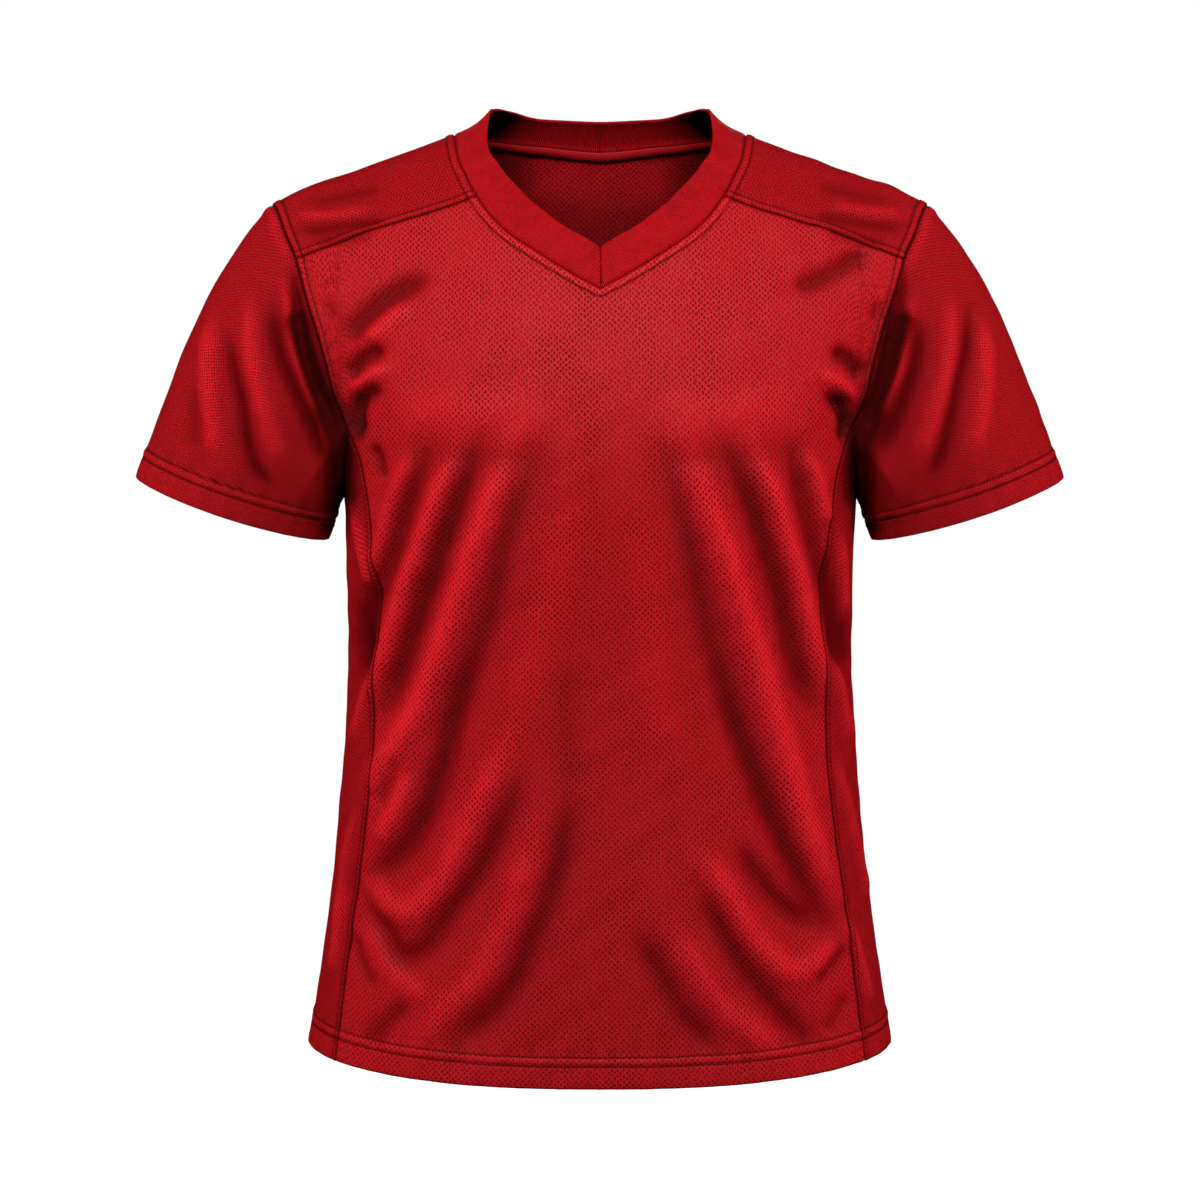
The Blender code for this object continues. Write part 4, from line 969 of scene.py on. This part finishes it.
def tapeGrid():
    panel = pieces["backPanel"]
    corner = panel["marks"]["corner"]
    columns = slice(corner, panel["grid"].shape[1] - corner)
    depth = np.linspace(tapeCut["top"], tapeCut["reach"], tapeCut["rows"] + 1)[:, None]
    down, lean = (panel[key][:tapeCut["panelRows"], columns] for key in ("grid", "outward"))
    steps = np.linalg.norm(np.diff(down, axis=0), axis=2)
    run = np.r_[np.zeros((1, down.shape[1])), np.cumsum(steps, axis=0)]
    index = np.clip((run < depth[..., None]).sum(1) - 1, 0, len(down) - 2)
    column = np.arange(down.shape[1])
    part = ((depth - run[index, column]) / (run[index + 1, column] - run[index, column]))[..., None]
    grid = down[index, column] * (1 - part) + down[index + 1, column] * part
    lean = unit(lean[index, column] * (1 - part) + lean[index + 1, column] * part)
    share = np.linspace(-1, 1, tapeCut["rows"] + 1)[:, None, None]
    outer = grid - lean * tapeCut["away"]
    inner = outer - lean * (tapeCut["wall"] + tapeCut["crown"] * (1 - share**2))
    return outer, inner


tapeOuter, tapeInner = tapeGrid()
pieces["neckTape"] = {"outer": tapeOuter, "inner": tapeInner, "closed": False, "grid": tapeOuter,
                      "relief": np.zeros(tapeOuter.shape[:2])}


# Cloth coordinates in metres, so that the knit keeps its size wherever the panel turns away
clothRun = {"steps": 24, "start": -0.35, "mitrePoint": 6, "beyondMitre": 0.03}


# On the body they are the lengths run round a level line and, from a starting height, along an
# upright one
def bodyRun(points, side):
    x, height = points[..., 0], points[..., 2]
    start, share = clothRun["start"], np.linspace(0, 1, clothRun["steps"] + 1)
    level = np.stack([onBody(x * part, height, side) for part in share])
    across = np.linalg.norm(np.diff(level, axis=0), axis=-1).sum(0) * np.sign(x)
    upright = np.stack([onBody(x, start + (height - start) * part, side) for part in share])
    down = np.linalg.norm(np.diff(upright, axis=0), axis=-1).sum(0) * np.sign(start - height)
    return np.stack([across, -down], -1)


# Elsewhere they are the lengths run along the middle row and column
def gridRun(grid):
    across = runLength(grid[grid.shape[0] // 2])
    down = runLength(grid[:, grid.shape[1] // 2])
    u, v = np.meshgrid(across, -down)
    return np.stack([u, v], -1)


# On the collar the first one is the length run along the seam to the foot of each point, and
# beyond the centre front the seam goes straight on, so that the ribs meet at a mitre
def collarRun(grid):
    centre = grid.shape[1] // 2
    coords = np.zeros(grid.shape[:2] + (2,))
    for half, columns in ((1, slice(centre, None)), (-1, slice(0, centre + 1))):
        some = grid[:, columns] if half > 0 else grid[:, columns][:, ::-1]
        seam = some[-1]
        ahead = unit(seam[0] - seam[clothRun["mitrePoint"]]) * clothRun["beyondMitre"]
        away, along = awayFrom(some, np.r_[[seam[0] + ahead], seam])
        local = np.stack([half * along, -away], -1)
        coords[:, columns] = local if half > 0 else local[:, ::-1]
    return coords


def clothCoords(name, piece):
    if name in ("frontPanel", "backPanel"):
        return bodyRun(piece["grid"], front if name == "frontPanel" else back)
    return collarRun(piece["grid"]) if name == "collarBand" else gridRun(piece["grid"])


# The four corners of each cell of a grid, gathered along an axis
def cellCorners(grid, axis):
    return np.stack([grid[:-1, :-1], grid[1:, :-1], grid[1:, 1:], grid[:-1, 1:]], axis)


# A closed wall from an outer and an inner grid: both skins, and round their edges a rim that
# bulges by a part of the wall
def clothObject(name, outer, inner, closed, coords, relief, inside, bulge=0.35):
    rows, columns = outer.shape[:2]
    kept = columns - 1 if closed else columns
    index = np.arange(rows * kept).reshape(rows, kept)
    index = np.c_[index, index[:, :1]] if closed else index
    points = [outer[:, :kept].reshape(-1, 3), inner[:, :kept].reshape(-1, 3)]
    # the inner skin's painted shade and highlight are the outer's turned over, less the painted shade inside
    reliefs = [relief[:, :kept].ravel(), -(relief + inside)[:, :kept].ravel()]
    count = 2 * rows * kept
    corners, places = [], []

    def skin(vertices, uv):
        corners.append(cellCorners(vertices, -1).reshape(-1, 4))
        places.append(cellCorners(uv, -2).reshape(-1, 4, 2))

    skin(index, coords)
    skin((index + rows * kept)[:, ::-1], coords[:, ::-1])
    # the edge's runs, each with the row or column beside it; a closed grid has two edges
    if closed:
        loops = [[(np.s_[0, :], np.s_[1, :])], [(np.s_[-1, :], np.s_[-2, :])]]
    else:
        loops = [[(np.s_[0, :-1], np.s_[1, :-1]), (np.s_[:-1, -1], np.s_[:-1, -2]),
                  (np.s_[-1, :0:-1], np.s_[-2, :0:-1]), (np.s_[:0:-1, 0], np.s_[:0:-1, 1])]]
    for number, loop in enumerate(loops):
        edge, uv, out, low = (np.concatenate([grid[run] for run, beside in loop])
                              for grid in (index, coords, outer, inner))
        away = unit(out - np.concatenate([outer[beside] for run, beside in loop]))
        middle = (out + low) / 2 + away * np.linalg.norm(out - low, axis=1, keepdims=True) * bulge
        if closed:
            middle = middle[:-1]
        else:
            edge, uv = np.r_[edge, edge[:1]], np.r_[uv, uv[:1]]
        ring = count + np.r_[np.arange(len(middle)), 0]
        points.append(middle)
        reliefs.append(np.zeros(len(middle)))
        count += len(middle)
        rim = np.stack([edge + rows * kept, ring, edge])
        skin(rim[::-1] if number else rim, np.stack([uv] * 3))
    points, corners, places = np.concatenate(points), np.concatenate(corners), np.concatenate(places)
    return meshObject(name, points, corners, places, np.concatenate(reliefs))


def meshObject(name, points, corners, places=None, relief=None):
    mesh = bpy.data.meshes.new(name)
    mesh.vertices.add(len(points))
    mesh.vertices.foreach_set("co", points.astype(np.float32).ravel())
    mesh.loops.add(corners.size)
    mesh.loops.foreach_set("vertex_index", corners.astype(np.int32).ravel())
    mesh.polygons.add(len(corners))
    mesh.polygons.foreach_set("loop_start", np.arange(len(corners), dtype=np.int32) * corners.shape[1])
    if places is not None:
        mesh.uv_layers.new(name="cloth").data.foreach_set("uv", places.astype(np.float32).ravel())
    # relief: the value from which the materials paint shade and highlight
    if relief is not None:
        mesh.attributes.new("relief", "FLOAT", "POINT").data.foreach_set("value", relief.astype(np.float32))
    mesh.update(calc_edges=True)
    mesh.validate()
    mesh.shade_smooth()
    made = bpy.data.objects.new(name, mesh)
    bpy.context.scene.collection.objects.link(made)
    return made


for name, piece in pieces.items():
    piece["object"] = clothObject(name, piece["outer"], piece["inner"], piece["closed"],
                                  clothCoords(name, piece), piece["relief"], insideShade(name, piece))
print("cloth made")


# Stitches: short bars of thread laid along a line at an even pitch. Each has four sections, with
# their places in lengths and their widths and lifts in half widths, so that its ends are sunk.
threads = {
    "pitch": 0.0029, "length": 0.0019, "half": 0.00042, "broad": 1.25, "sides": 4, "searchRows": 40,
    "places": (-0.5, -0.3, 0.3, 0.5), "widths": (0.45, 1.0, 1.0, 0.45), "lifts": (-0.9, 0.35, 0.35, -0.9),
}


# The line on a piece's surface that keeps one distance from its first row
def lineBeside(outer, normals, away, distance):
    away, outer, normals = (rows[:threads["searchRows"]] for rows in (away, outer, normals))
    index = np.clip((np.maximum.accumulate(away, axis=0) < distance).sum(0) - 1, 0, len(away) - 2)
    column = np.arange(away.shape[1])
    below, above = away[index, column], away[index + 1, column]
    part = np.clip((distance - below) / np.maximum(above - below, 1e-9), 0, 1)[:, None]
    line = outer[index, column] * (1 - part) + outer[index + 1, column] * part
    lean = normals[index, column] * (1 - part) + normals[index + 1, column] * part
    return line, unit(lean)


def stitchBars(line, lean):
    run, length, sides = runLength(line), threads["length"], threads["sides"]
    start = np.arange(threads["pitch"] / 2, run[-1] - length / 2, threads["pitch"])
    centre, up = valuesAt(start, run, line), unit(valuesAt(start, run, lean))
    ahead = unit(valuesAt(start + length / 2, run, line) - valuesAt(start - length / 2, run, line))
    aside = np.cross(up, ahead)
    places, widths, lifts = (np.array(threads[key])[:, None] for key in ("places", "widths", "lifts"))
    angles = np.arange(sides) * 2 * np.pi / sides + np.pi / 4
    upward = (lifts + widths * np.sin(angles)) * threads["half"]
    sideward = widths * np.cos(angles) * threads["half"] * threads["broad"]
    rings = (centre[:, None, None] + ahead[:, None, None] * (places * length)[..., None]
             + up[:, None, None] * upward[..., None] + aside[:, None, None] * sideward[..., None])
    ring = np.arange(sides)
    after = (ring + 1) % sides
    around = np.stack([ring, after, after + sides, ring + sides], 1)
    faces = [around + k * sides for k in range(len(places) - 1)]
    faces += [ring[None, ::-1], ring[None] + (len(places) - 1) * sides]
    corners = np.concatenate(faces) + (np.arange(len(start)) * len(places) * sides)[:, None, None]
    return rings.reshape(-1, 3), corners.reshape(-1, 4)


# Ways to turn a grid so that one of its edges becomes the first row
def asTop(grid):
    return grid


def asBottom(grid):
    return grid[::-1]


def asLeft(grid):
    return grid.swapaxes(0, 1)


def asRight(grid):
    return grid[:, ::-1].swapaxes(0, 1)


# Each piece's stitch lines: edge, distance from it, how it becomes the first row, which columns
def stitchLines(name, piece):
    whole = slice(None)
    hem = [("hem", line, asBottom, whole) for line in hems["lines"]]
    if name in ("frontPanel", "backPanel"):
        corner, armhole = piece["marks"]["corner"], slice(0, piece["marks"]["underarm"])
        neck = slice(corner, piece["grid"].shape[1] - corner)
        return [("neck", strips["neck"], asTop, neck), ("armholeA", strips["armhole"], asLeft, armhole),
                ("armholeB", strips["armhole"], asRight, armhole)] + hem
    if name.startswith("sidePanel"):
        return [("sideA", strips["side"], asLeft, whole), ("sideB", strips["side"], asRight, whole)] + hem
    if name.startswith("yoke"):
        neck, armhole = (asLeft, asRight) if name.endswith("Left") else (asRight, asLeft)
        return [("neck", strips["neck"], neck, whole), ("armhole", strips["armhole"], armhole, whole),
                ("front", strips["yoke"], asBottom, whole), ("back", strips["yoke"], asTop, whole)]
    return hem if name.startswith("sleeve") else []


for name, piece in pieces.items():
    bars, corners, count = [], [], 0
    for edge, distance, turned, some in stitchLines(name, piece):
        outer, normals = turned(piece["outer"])[:, some], turned(piece["outerNormals"])[:, some]
        line, lean = lineBeside(outer, normals, turned(piece["away"][edge])[:, some], distance)
        points, quads = stitchBars(line, lean)
        bars.append(points)
        corners.append(quads + count)
        count += len(points)
    if bars:
        piece["stitches"] = meshObject(name + "Stitches", np.concatenate(bars), np.concatenate(corners))
print("stitches made")


# A socket that Python's operators can work on, each adding a Math node
class Value:
    def __init__(self, tree, socket):
        self.tree, self.socket = tree, socket

    def math(self, operation, *others):
        node = self.tree.nodes.new("ShaderNodeMath")
        node.operation = operation
        for place, item in enumerate((self,) + others):
            if isinstance(item, Value):
                self.tree.links.new(item.socket, node.inputs[place])
            else:
                node.inputs[place].default_value = item
        return Value(self.tree, node.outputs[0])

    def __add__(self, other):
        return self.math("ADD", other)

    def __mul__(self, other):
        return self.math("MULTIPLY", other)

    def __sub__(self, other):
        return self.math("SUBTRACT", other)

    def __truediv__(self, other):
        return self.math("DIVIDE", other)


# What the relief attribute does: between which values the painted shade of hollows turns into the
# painted highlight of crests, the painted shade deepens to nearly black, and the cloth loses its gloss
reliefSteps = {"colour": (-1.0, 1.0), "dark": (-0.7, -2.4), "dull": (0.3, -0.9)}
# the nearly black colour painted in the deepest shade
deepest = (0.003, 0.0, 0.0, 1)


class Finish:
    def __init__(self, name, **fixed):
        self.material = bpy.data.materials.new(name)
        self.material.use_nodes = True
        self.tree = self.material.node_tree
        self.shader = self.tree.nodes["Principled BSDF"]
        for socket, value in fixed.items():
            self.shader.inputs[socket].default_value = value

    # A node of a type with its settings made first, then the values or links of its sockets
    def node(self, kind, settings=(), sockets=()):
        made = self.tree.nodes.new("ShaderNode" + kind)
        for key, value in dict(settings).items():
            setattr(made, key, value)
        for key, value in dict(sockets).items():
            if isinstance(value, Value):
                self.tree.links.new(value.socket, made.inputs[key])
            else:
                made.inputs[key].default_value = value
        return made

    def value(self, made, output=0):
        return Value(self.tree, made.outputs[output])

    def drive(self, socket, value):
        self.tree.links.new(value.socket, self.shader.inputs[socket])

    # The two cloth coordinates, in metres
    def cloth(self):
        parts = self.node("SeparateXYZ", (), {0: self.value(self.node("UVMap", {"uv_map": "cloth"}))})
        return self.value(parts, 0), self.value(parts, 1)

    # Noise on the cloth coordinates, with patches of about the given size across and down
    def patches(self, across, down, detail=2.0):
        u, v = self.cloth()
        place = self.value(self.node("CombineXYZ", (), {0: u / across, 1: v / down}))
        flat = {"noise_dimensions": "2D"}
        made = self.node("TexNoise", flat, {"Vector": place, "Scale": 1.0, "Detail": detail})
        return self.value(made, "Fac")

    # How far the cloth's relief has gone from one value to another, as reliefSteps names them
    def reliefShare(self, key):
        height = self.value(self.node("Attribute", {"attribute_name": "relief"}), "Fac")
        return self.step(height, *reliefSteps[key])

    # The cloth's colour by its relief: painted shade in hollows, painted highlight on crests, and nearly black
    # painted in the deepest shade
    def paintedLightByRelief(self, look):
        return self.shaded(self.blend(self.reliefShare("colour"), look["shadedHollow"], look["litCrest"]))

    # Painted shade: the colour blended to nearly black where the relief is deepest
    def shaded(self, colour):
        return self.blend(self.reliefShare("dark"), colour, deepest)

    def step(self, value, low, high):
        made = self.node("MapRange", {"interpolation_type": "SMOOTHSTEP"}, {0: value, 1: low, 2: high})
        return self.value(made)

    def blend(self, share, first, second):
        made = self.node("Mix", {"data_type": "RGBA"}, {0: share, 6: first, 7: second})
        return self.value(made, 2)

    # Roughness that varies with the grain about the look's own
    def grainy(self, look, grain):
        return (grain - 0.5) * look["roughGrain"] + look["roughness"]

    # Bump from a height in millimetres
    def relief(self, height):
        made = self.node("Bump", (), {"Strength": 1.0, "Distance": 0.001, "Height": height})
        self.drive("Normal", self.value(made))


# Oval dimples in staggered rows, nudged by noise: 1 in a dimple's middle, 0 outside. A dimple is
# where (x / half across)^2 + (y / half down)^2 is small.
dimpleShape = {"nudgeAcross": (0.0060, 0.0045), "nudgeDown": (0.0045, 0.0070), "edge": (1.3, 0.2)}


def dimples(finish, look):
    u, v = finish.cloth()
    u = u + (finish.patches(*dimpleShape["nudgeAcross"], 1.0) - 0.5) * look["nudge"]
    v = v + (finish.patches(*dimpleShape["nudgeDown"], 1.0) - 0.5) * look["nudge"]
    row = v / look["pitchDown"]
    shift = row.math("FLOOR").math("MODULO", 2.0).math("ABSOLUTE") * 0.5
    column = u / look["pitchAcross"] + shift
    across = (column.math("FRACT") - 0.5) * (look["pitchAcross"] / look["halfAcross"])
    down = (row.math("FRACT") - 0.5) * (look["pitchDown"] / look["halfDown"])
    return finish.step(across * across + down * down, *dimpleShape["edge"])


# Sizes of noise are in metres across and down, depths and grain in millimetres
meshKnitLook = {
    # The first two colours are the red with painted highlight, for crests, and with painted shade, for
    # hollows; the colour in a dimple is painted shade there
    "litCrest": (0.74, 0.0140, 0.0215, 1), "shadedHollow": (0.20, 0.0008, 0.0020, 1),
    "inDimple": (0.14, 0.0008, 0.0018, 1), "faded": (0.40, 0.0028, 0.0060, 1),
    "pitchAcross": 0.0047, "pitchDown": 0.0024, "halfAcross": 0.00075, "halfDown": 0.00125, "nudge": 0.0026,
    "depth": 1.0, "grain": 0.46, "grainSize": (0.00075, 0.0013),
    "fadedShare": 0.35, "fadedSize": (0.009, 0.014),
    "weakest": 0.54, "stronger": 0.4, "strengthSize": (0.035, 0.05), "strengthEdge": (0.25, 0.75),
    "roughness": 0.45, "roughGrain": 0.14, "roughDimple": 0.12, "roughHollow": 0.3, "sheen": 0.125,
}


def meshKnit():
    look = meshKnitLook
    finish = Finish("meshKnit", **{"Specular IOR Level": look["sheen"]})
    holes = dimples(finish, look)
    grain = finish.patches(*look["grainSize"], 1.0)
    strength = finish.step(finish.patches(*look["strengthSize"]), *look["strengthEdge"])
    strength = strength * look["stronger"] + look["weakest"]
    faded = finish.patches(*look["fadedSize"], 3.0) * look["fadedShare"]
    # Painted shade in hollows and painted highlight on crests, by the relief, with faded patches; then painted
    # shade in the dimples
    plain = finish.blend(faded, finish.paintedLightByRelief(look), look["faded"])
    finish.drive("Base Color", finish.blend(holes * strength, plain, look["inDimple"]))
    finish.drive("Roughness", finish.grainy(look, grain) + holes * look["roughDimple"]
                 + finish.reliefShare("dull") * look["roughHollow"])
    finish.relief(grain * look["grain"] - holes * strength * look["depth"])
    return finish.material


satinKnitLook = {
    # The first two colours are the red with painted highlight, for crests, and with painted shade, for hollows
    # and dimples
    "litCrest": (0.75, 0.0135, 0.0205, 1), "shadedHollow": (0.13, 0.0006, 0.0015, 1),
    "faded": (0.30, 0.0022, 0.0046, 1),
    "pitchAcross": 0.0030, "pitchDown": 0.0017, "halfAcross": 0.0006, "halfDown": 0.0009, "nudge": 0.0020,
    "depth": 0.75, "dimpleShare": 0.8, "grain": 0.85, "grainSize": (0.0006, 0.0016),
    "fadedShare": 0.3, "fadedSize": (0.008, 0.016),
    "roughness": 0.46, "roughGrain": 0.12, "roughHollow": 0.5, "sheen": 0.055,
}


def satinKnit():
    look = satinKnitLook
    finish = Finish("satinKnit", **{"Specular IOR Level": look["sheen"]})
    holes = dimples(finish, look)
    grain = finish.patches(*look["grainSize"], 1.0)
    faded = finish.patches(*look["fadedSize"], 3.0) * look["fadedShare"]
    plain = finish.blend(faded, finish.paintedLightByRelief(look), look["faded"])
    # the dimples take the painted-shade colour of hollows
    finish.drive("Base Color", finish.blend(holes * look["dimpleShare"], plain, look["shadedHollow"]))
    finish.drive("Roughness", finish.grainy(look, grain) + finish.reliefShare("dull") * look["roughHollow"])
    finish.relief(grain * look["grain"] - holes * look["depth"])
    return finish.material


ribKnitLook = {
    # between: painted shade in the grooves between the ribs
    "red": (0.74, 0.0080, 0.0145, 1), "between": (0.11, 0.0007, 0.0016, 1), "ribEdge": (-0.15, 0.7),
    "pitch": 0.00168, "sway": 0.0012, "swaySize": (0.012, 0.012),
    "depth": 0.70, "grain": 0.12, "grainSize": (0.0006, 0.0009),
    "wornShare": 0.4, "wornSize": (0.008, 0.008),
    "roughness": 0.60, "roughGrain": 0.12, "sheen": 0.07,
}


# Ribs across the band: a rounded wave of the length run along it
def ribKnit():
    look = ribKnitLook
    finish = Finish("ribKnit", **{"Specular IOR Level": look["sheen"]})
    run = finish.cloth()[0] + (finish.patches(*look["swaySize"], 1.0) - 0.5) * look["sway"]
    wave = (run * (2 * np.pi / look["pitch"])).math("COSINE") * 0.5 + 0.5
    grain = finish.patches(*look["grainSize"], 1.0)
    # painted shade in the grooves between the ribs
    plain = finish.blend(finish.step(wave, *look["ribEdge"]), look["between"], look["red"])
    worn = finish.patches(*look["wornSize"], 3.0) * look["wornShare"]
    # and nearly black painted where the relief is deepest
    finish.drive("Base Color", finish.shaded(finish.blend(worn, plain, look["between"])))
    finish.drive("Roughness", finish.grainy(look, grain))
    finish.relief(wave * look["depth"] + grain * look["grain"])
    return finish.material


tapeLook = {
    "red": (0.50, 0.0060, 0.0095, 1), "deep": (0.32, 0.0035, 0.0060, 1), "redEdge": (0.3, 0.7),
    "grain": 0.15, "grainSize": (0.0012, 0.0006), "roughness": 0.6, "roughGrain": 0.12, "sheen": 0.2,
}


def tapeKnit():
    look = tapeLook
    finish = Finish("tapeKnit", **{"Specular IOR Level": look["sheen"]})
    grain = finish.patches(*look["grainSize"], 1.0)
    finish.drive("Base Color", finish.blend(finish.step(grain, *look["redEdge"]), look["deep"], look["red"]))
    finish.drive("Roughness", finish.grainy(look, grain))
    finish.relief(grain * look["grain"])
    return finish.material


threadLook = {
    "red": (0.13, 0.0014, 0.0026, 1), "deep": (0.05, 0.0006, 0.0011, 1), "redEdge": (0.35, 0.65),
    "patchesPerMetre": 900.0, "roughness": 0.55, "sheen": 0.2,
}


# Thread: fine noise on the object's own coordinates
def thread():
    look = threadLook
    finish = Finish("thread", **{"Roughness": look["roughness"], "Specular IOR Level": look["sheen"]})
    place = finish.value(finish.node("TexCoord"), "Object")
    noise = finish.node("TexNoise", (), {"Vector": place, "Scale": look["patchesPerMetre"], "Detail": 1.0})
    share = finish.step(finish.value(noise, "Fac"), *look["redEdge"])
    finish.drive("Base Color", finish.blend(share, look["deep"], look["red"]))
    return finish.material


looks = {"mesh_knit": meshKnit(), "satin_knit": satinKnit(), "rib_knit": ribKnit(), "tape": tapeKnit()}
threadFinish = thread()

# Each piece's CAD node, material slot, and the flat cut's width, length and area
cuts = {
    "frontPanel": ("front", "mesh_knit", (0.56, 0.72), 0.33),
    "backPanel": ("back", "mesh_knit", (0.56, 0.80), 0.37),
    "sidePanelLeft": ("side_panel_left", "satin_knit", (0.19, 0.52), 0.08),
    "sidePanelRight": ("side_panel_right", "satin_knit", (0.19, 0.52), 0.08),
    "yokeLeft": ("yoke_left", "satin_knit", (0.16, 0.14), 0.014),
    "yokeRight": ("yoke_right", "satin_knit", (0.16, 0.14), 0.014),
    "sleeveLeft": ("sleeve_left", "satin_knit", (0.52, 0.30), 0.09),
    "sleeveRight": ("sleeve_right", "satin_knit", (0.52, 0.30), 0.09),
    "collarBand": ("collar", "rib_knit", (0.72, 0.034), 0.022),
    "neckTape": ("neck_tape", "tape", (0.26, 0.012), 0.0026),
}
for name, (node, slot, flat, area) in cuts.items():
    piece = pieces[name]
    made = piece["object"]
    made.data.materials.append(looks[slot])
    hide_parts(node)
    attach(made, "root")
    if "stitches" in piece:
        piece["stitches"].data.materials.append(threadFinish)
        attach(piece["stitches"], "root")
print("finishes given")


studio = {
    "target": (0.0, 0.0, -0.378), "distance": 2.6, "elevation": 6.0, "lens": 95.12,
    "floor": -1.35, "floorHalf": 6.0, "floorGlow": 1.0, "floorPale": (0.60, 0.60, 0.60, 1),
    # place, aim, width, height, power, whether it gives a sheen
    "lights": (
        ((0.0, -1.50, 0.88), (0.0, 0.0, -0.36), 1.7, 0.5, 43.5, True),
        ((0.0, -2.6, -1.1), (0.0, 0.0, -0.50), 1.6, 0.8, 3.5, False),
        ((-1.8, -0.20, -0.40), (0.0, 0.0, -0.45), 0.6, 1.0, 19.0, False),
        ((1.8, -0.20, -0.40), (0.0, 0.0, -0.45), 0.6, 1.0, 19.0, False),
        ((0.0, 2.0, 0.60), (0.0, 0.0, -0.35), 1.8, 0.8, 36.0, False),
    ),
}


# The floor and the sky are seen, but neither lights the cloth
def floorAndSky():
    half = studio["floorHalf"]
    points = np.array([(-half, -half), (half, -half), (half, half), (-half, half)])
    made = meshObject("floor", np.c_[points, np.full(4, studio["floor"])], np.array([[0, 1, 2, 3]]))
    finish = Finish("paleFloor", **{
        "Base Color": studio["floorPale"], "Roughness": 0.9,
        "Emission Color": (1, 1, 1, 1), "Emission Strength": studio["floorGlow"]})
    made.data.materials.append(finish.material)
    made.visible_diffuse = made.visible_glossy = False
    world = bpy.data.worlds.new("sky")
    world.use_nodes = True
    world.node_tree.nodes["Background"].inputs["Color"].default_value = (1, 1, 1, 1)
    world.cycles_visibility.diffuse = world.cycles_visibility.glossy = False
    bpy.context.scene.world = world


def aimed(thing, place, target):
    thing.location = place
    thing.rotation_euler = (Vector(target) - Vector(place)).to_track_quat("-Z", "Y").to_euler()
    bpy.context.scene.collection.objects.link(thing)


def lightUp():
    for number, (place, target, width, height, power, sheen) in enumerate(studio["lights"]):
        lamp = bpy.data.lights.new("softBox%d" % number, "AREA")
        lamp.shape, lamp.size, lamp.size_y, lamp.energy = "RECTANGLE", width, height, power
        softBox = bpy.data.objects.new(lamp.name, lamp)
        softBox.visible_glossy = sheen
        aimed(softBox, place, target)
    bpy.context.scene.view_settings.view_transform = "Standard"


def placeCamera():
    rise = np.radians(studio["elevation"])
    target = np.array(studio["target"])
    place = target + studio["distance"] * np.array((0, -np.cos(rise), np.sin(rise)))
    lens = bpy.data.cameras.new("camera")
    lens.lens, lens.sensor_width = studio["lens"], 36.0
    camera = bpy.data.objects.new("camera", lens)
    aimed(camera, tuple(place), studio["target"])
    bpy.context.scene.camera = camera


floorAndSky()
lightUp()
placeCamera()
print("studio set")
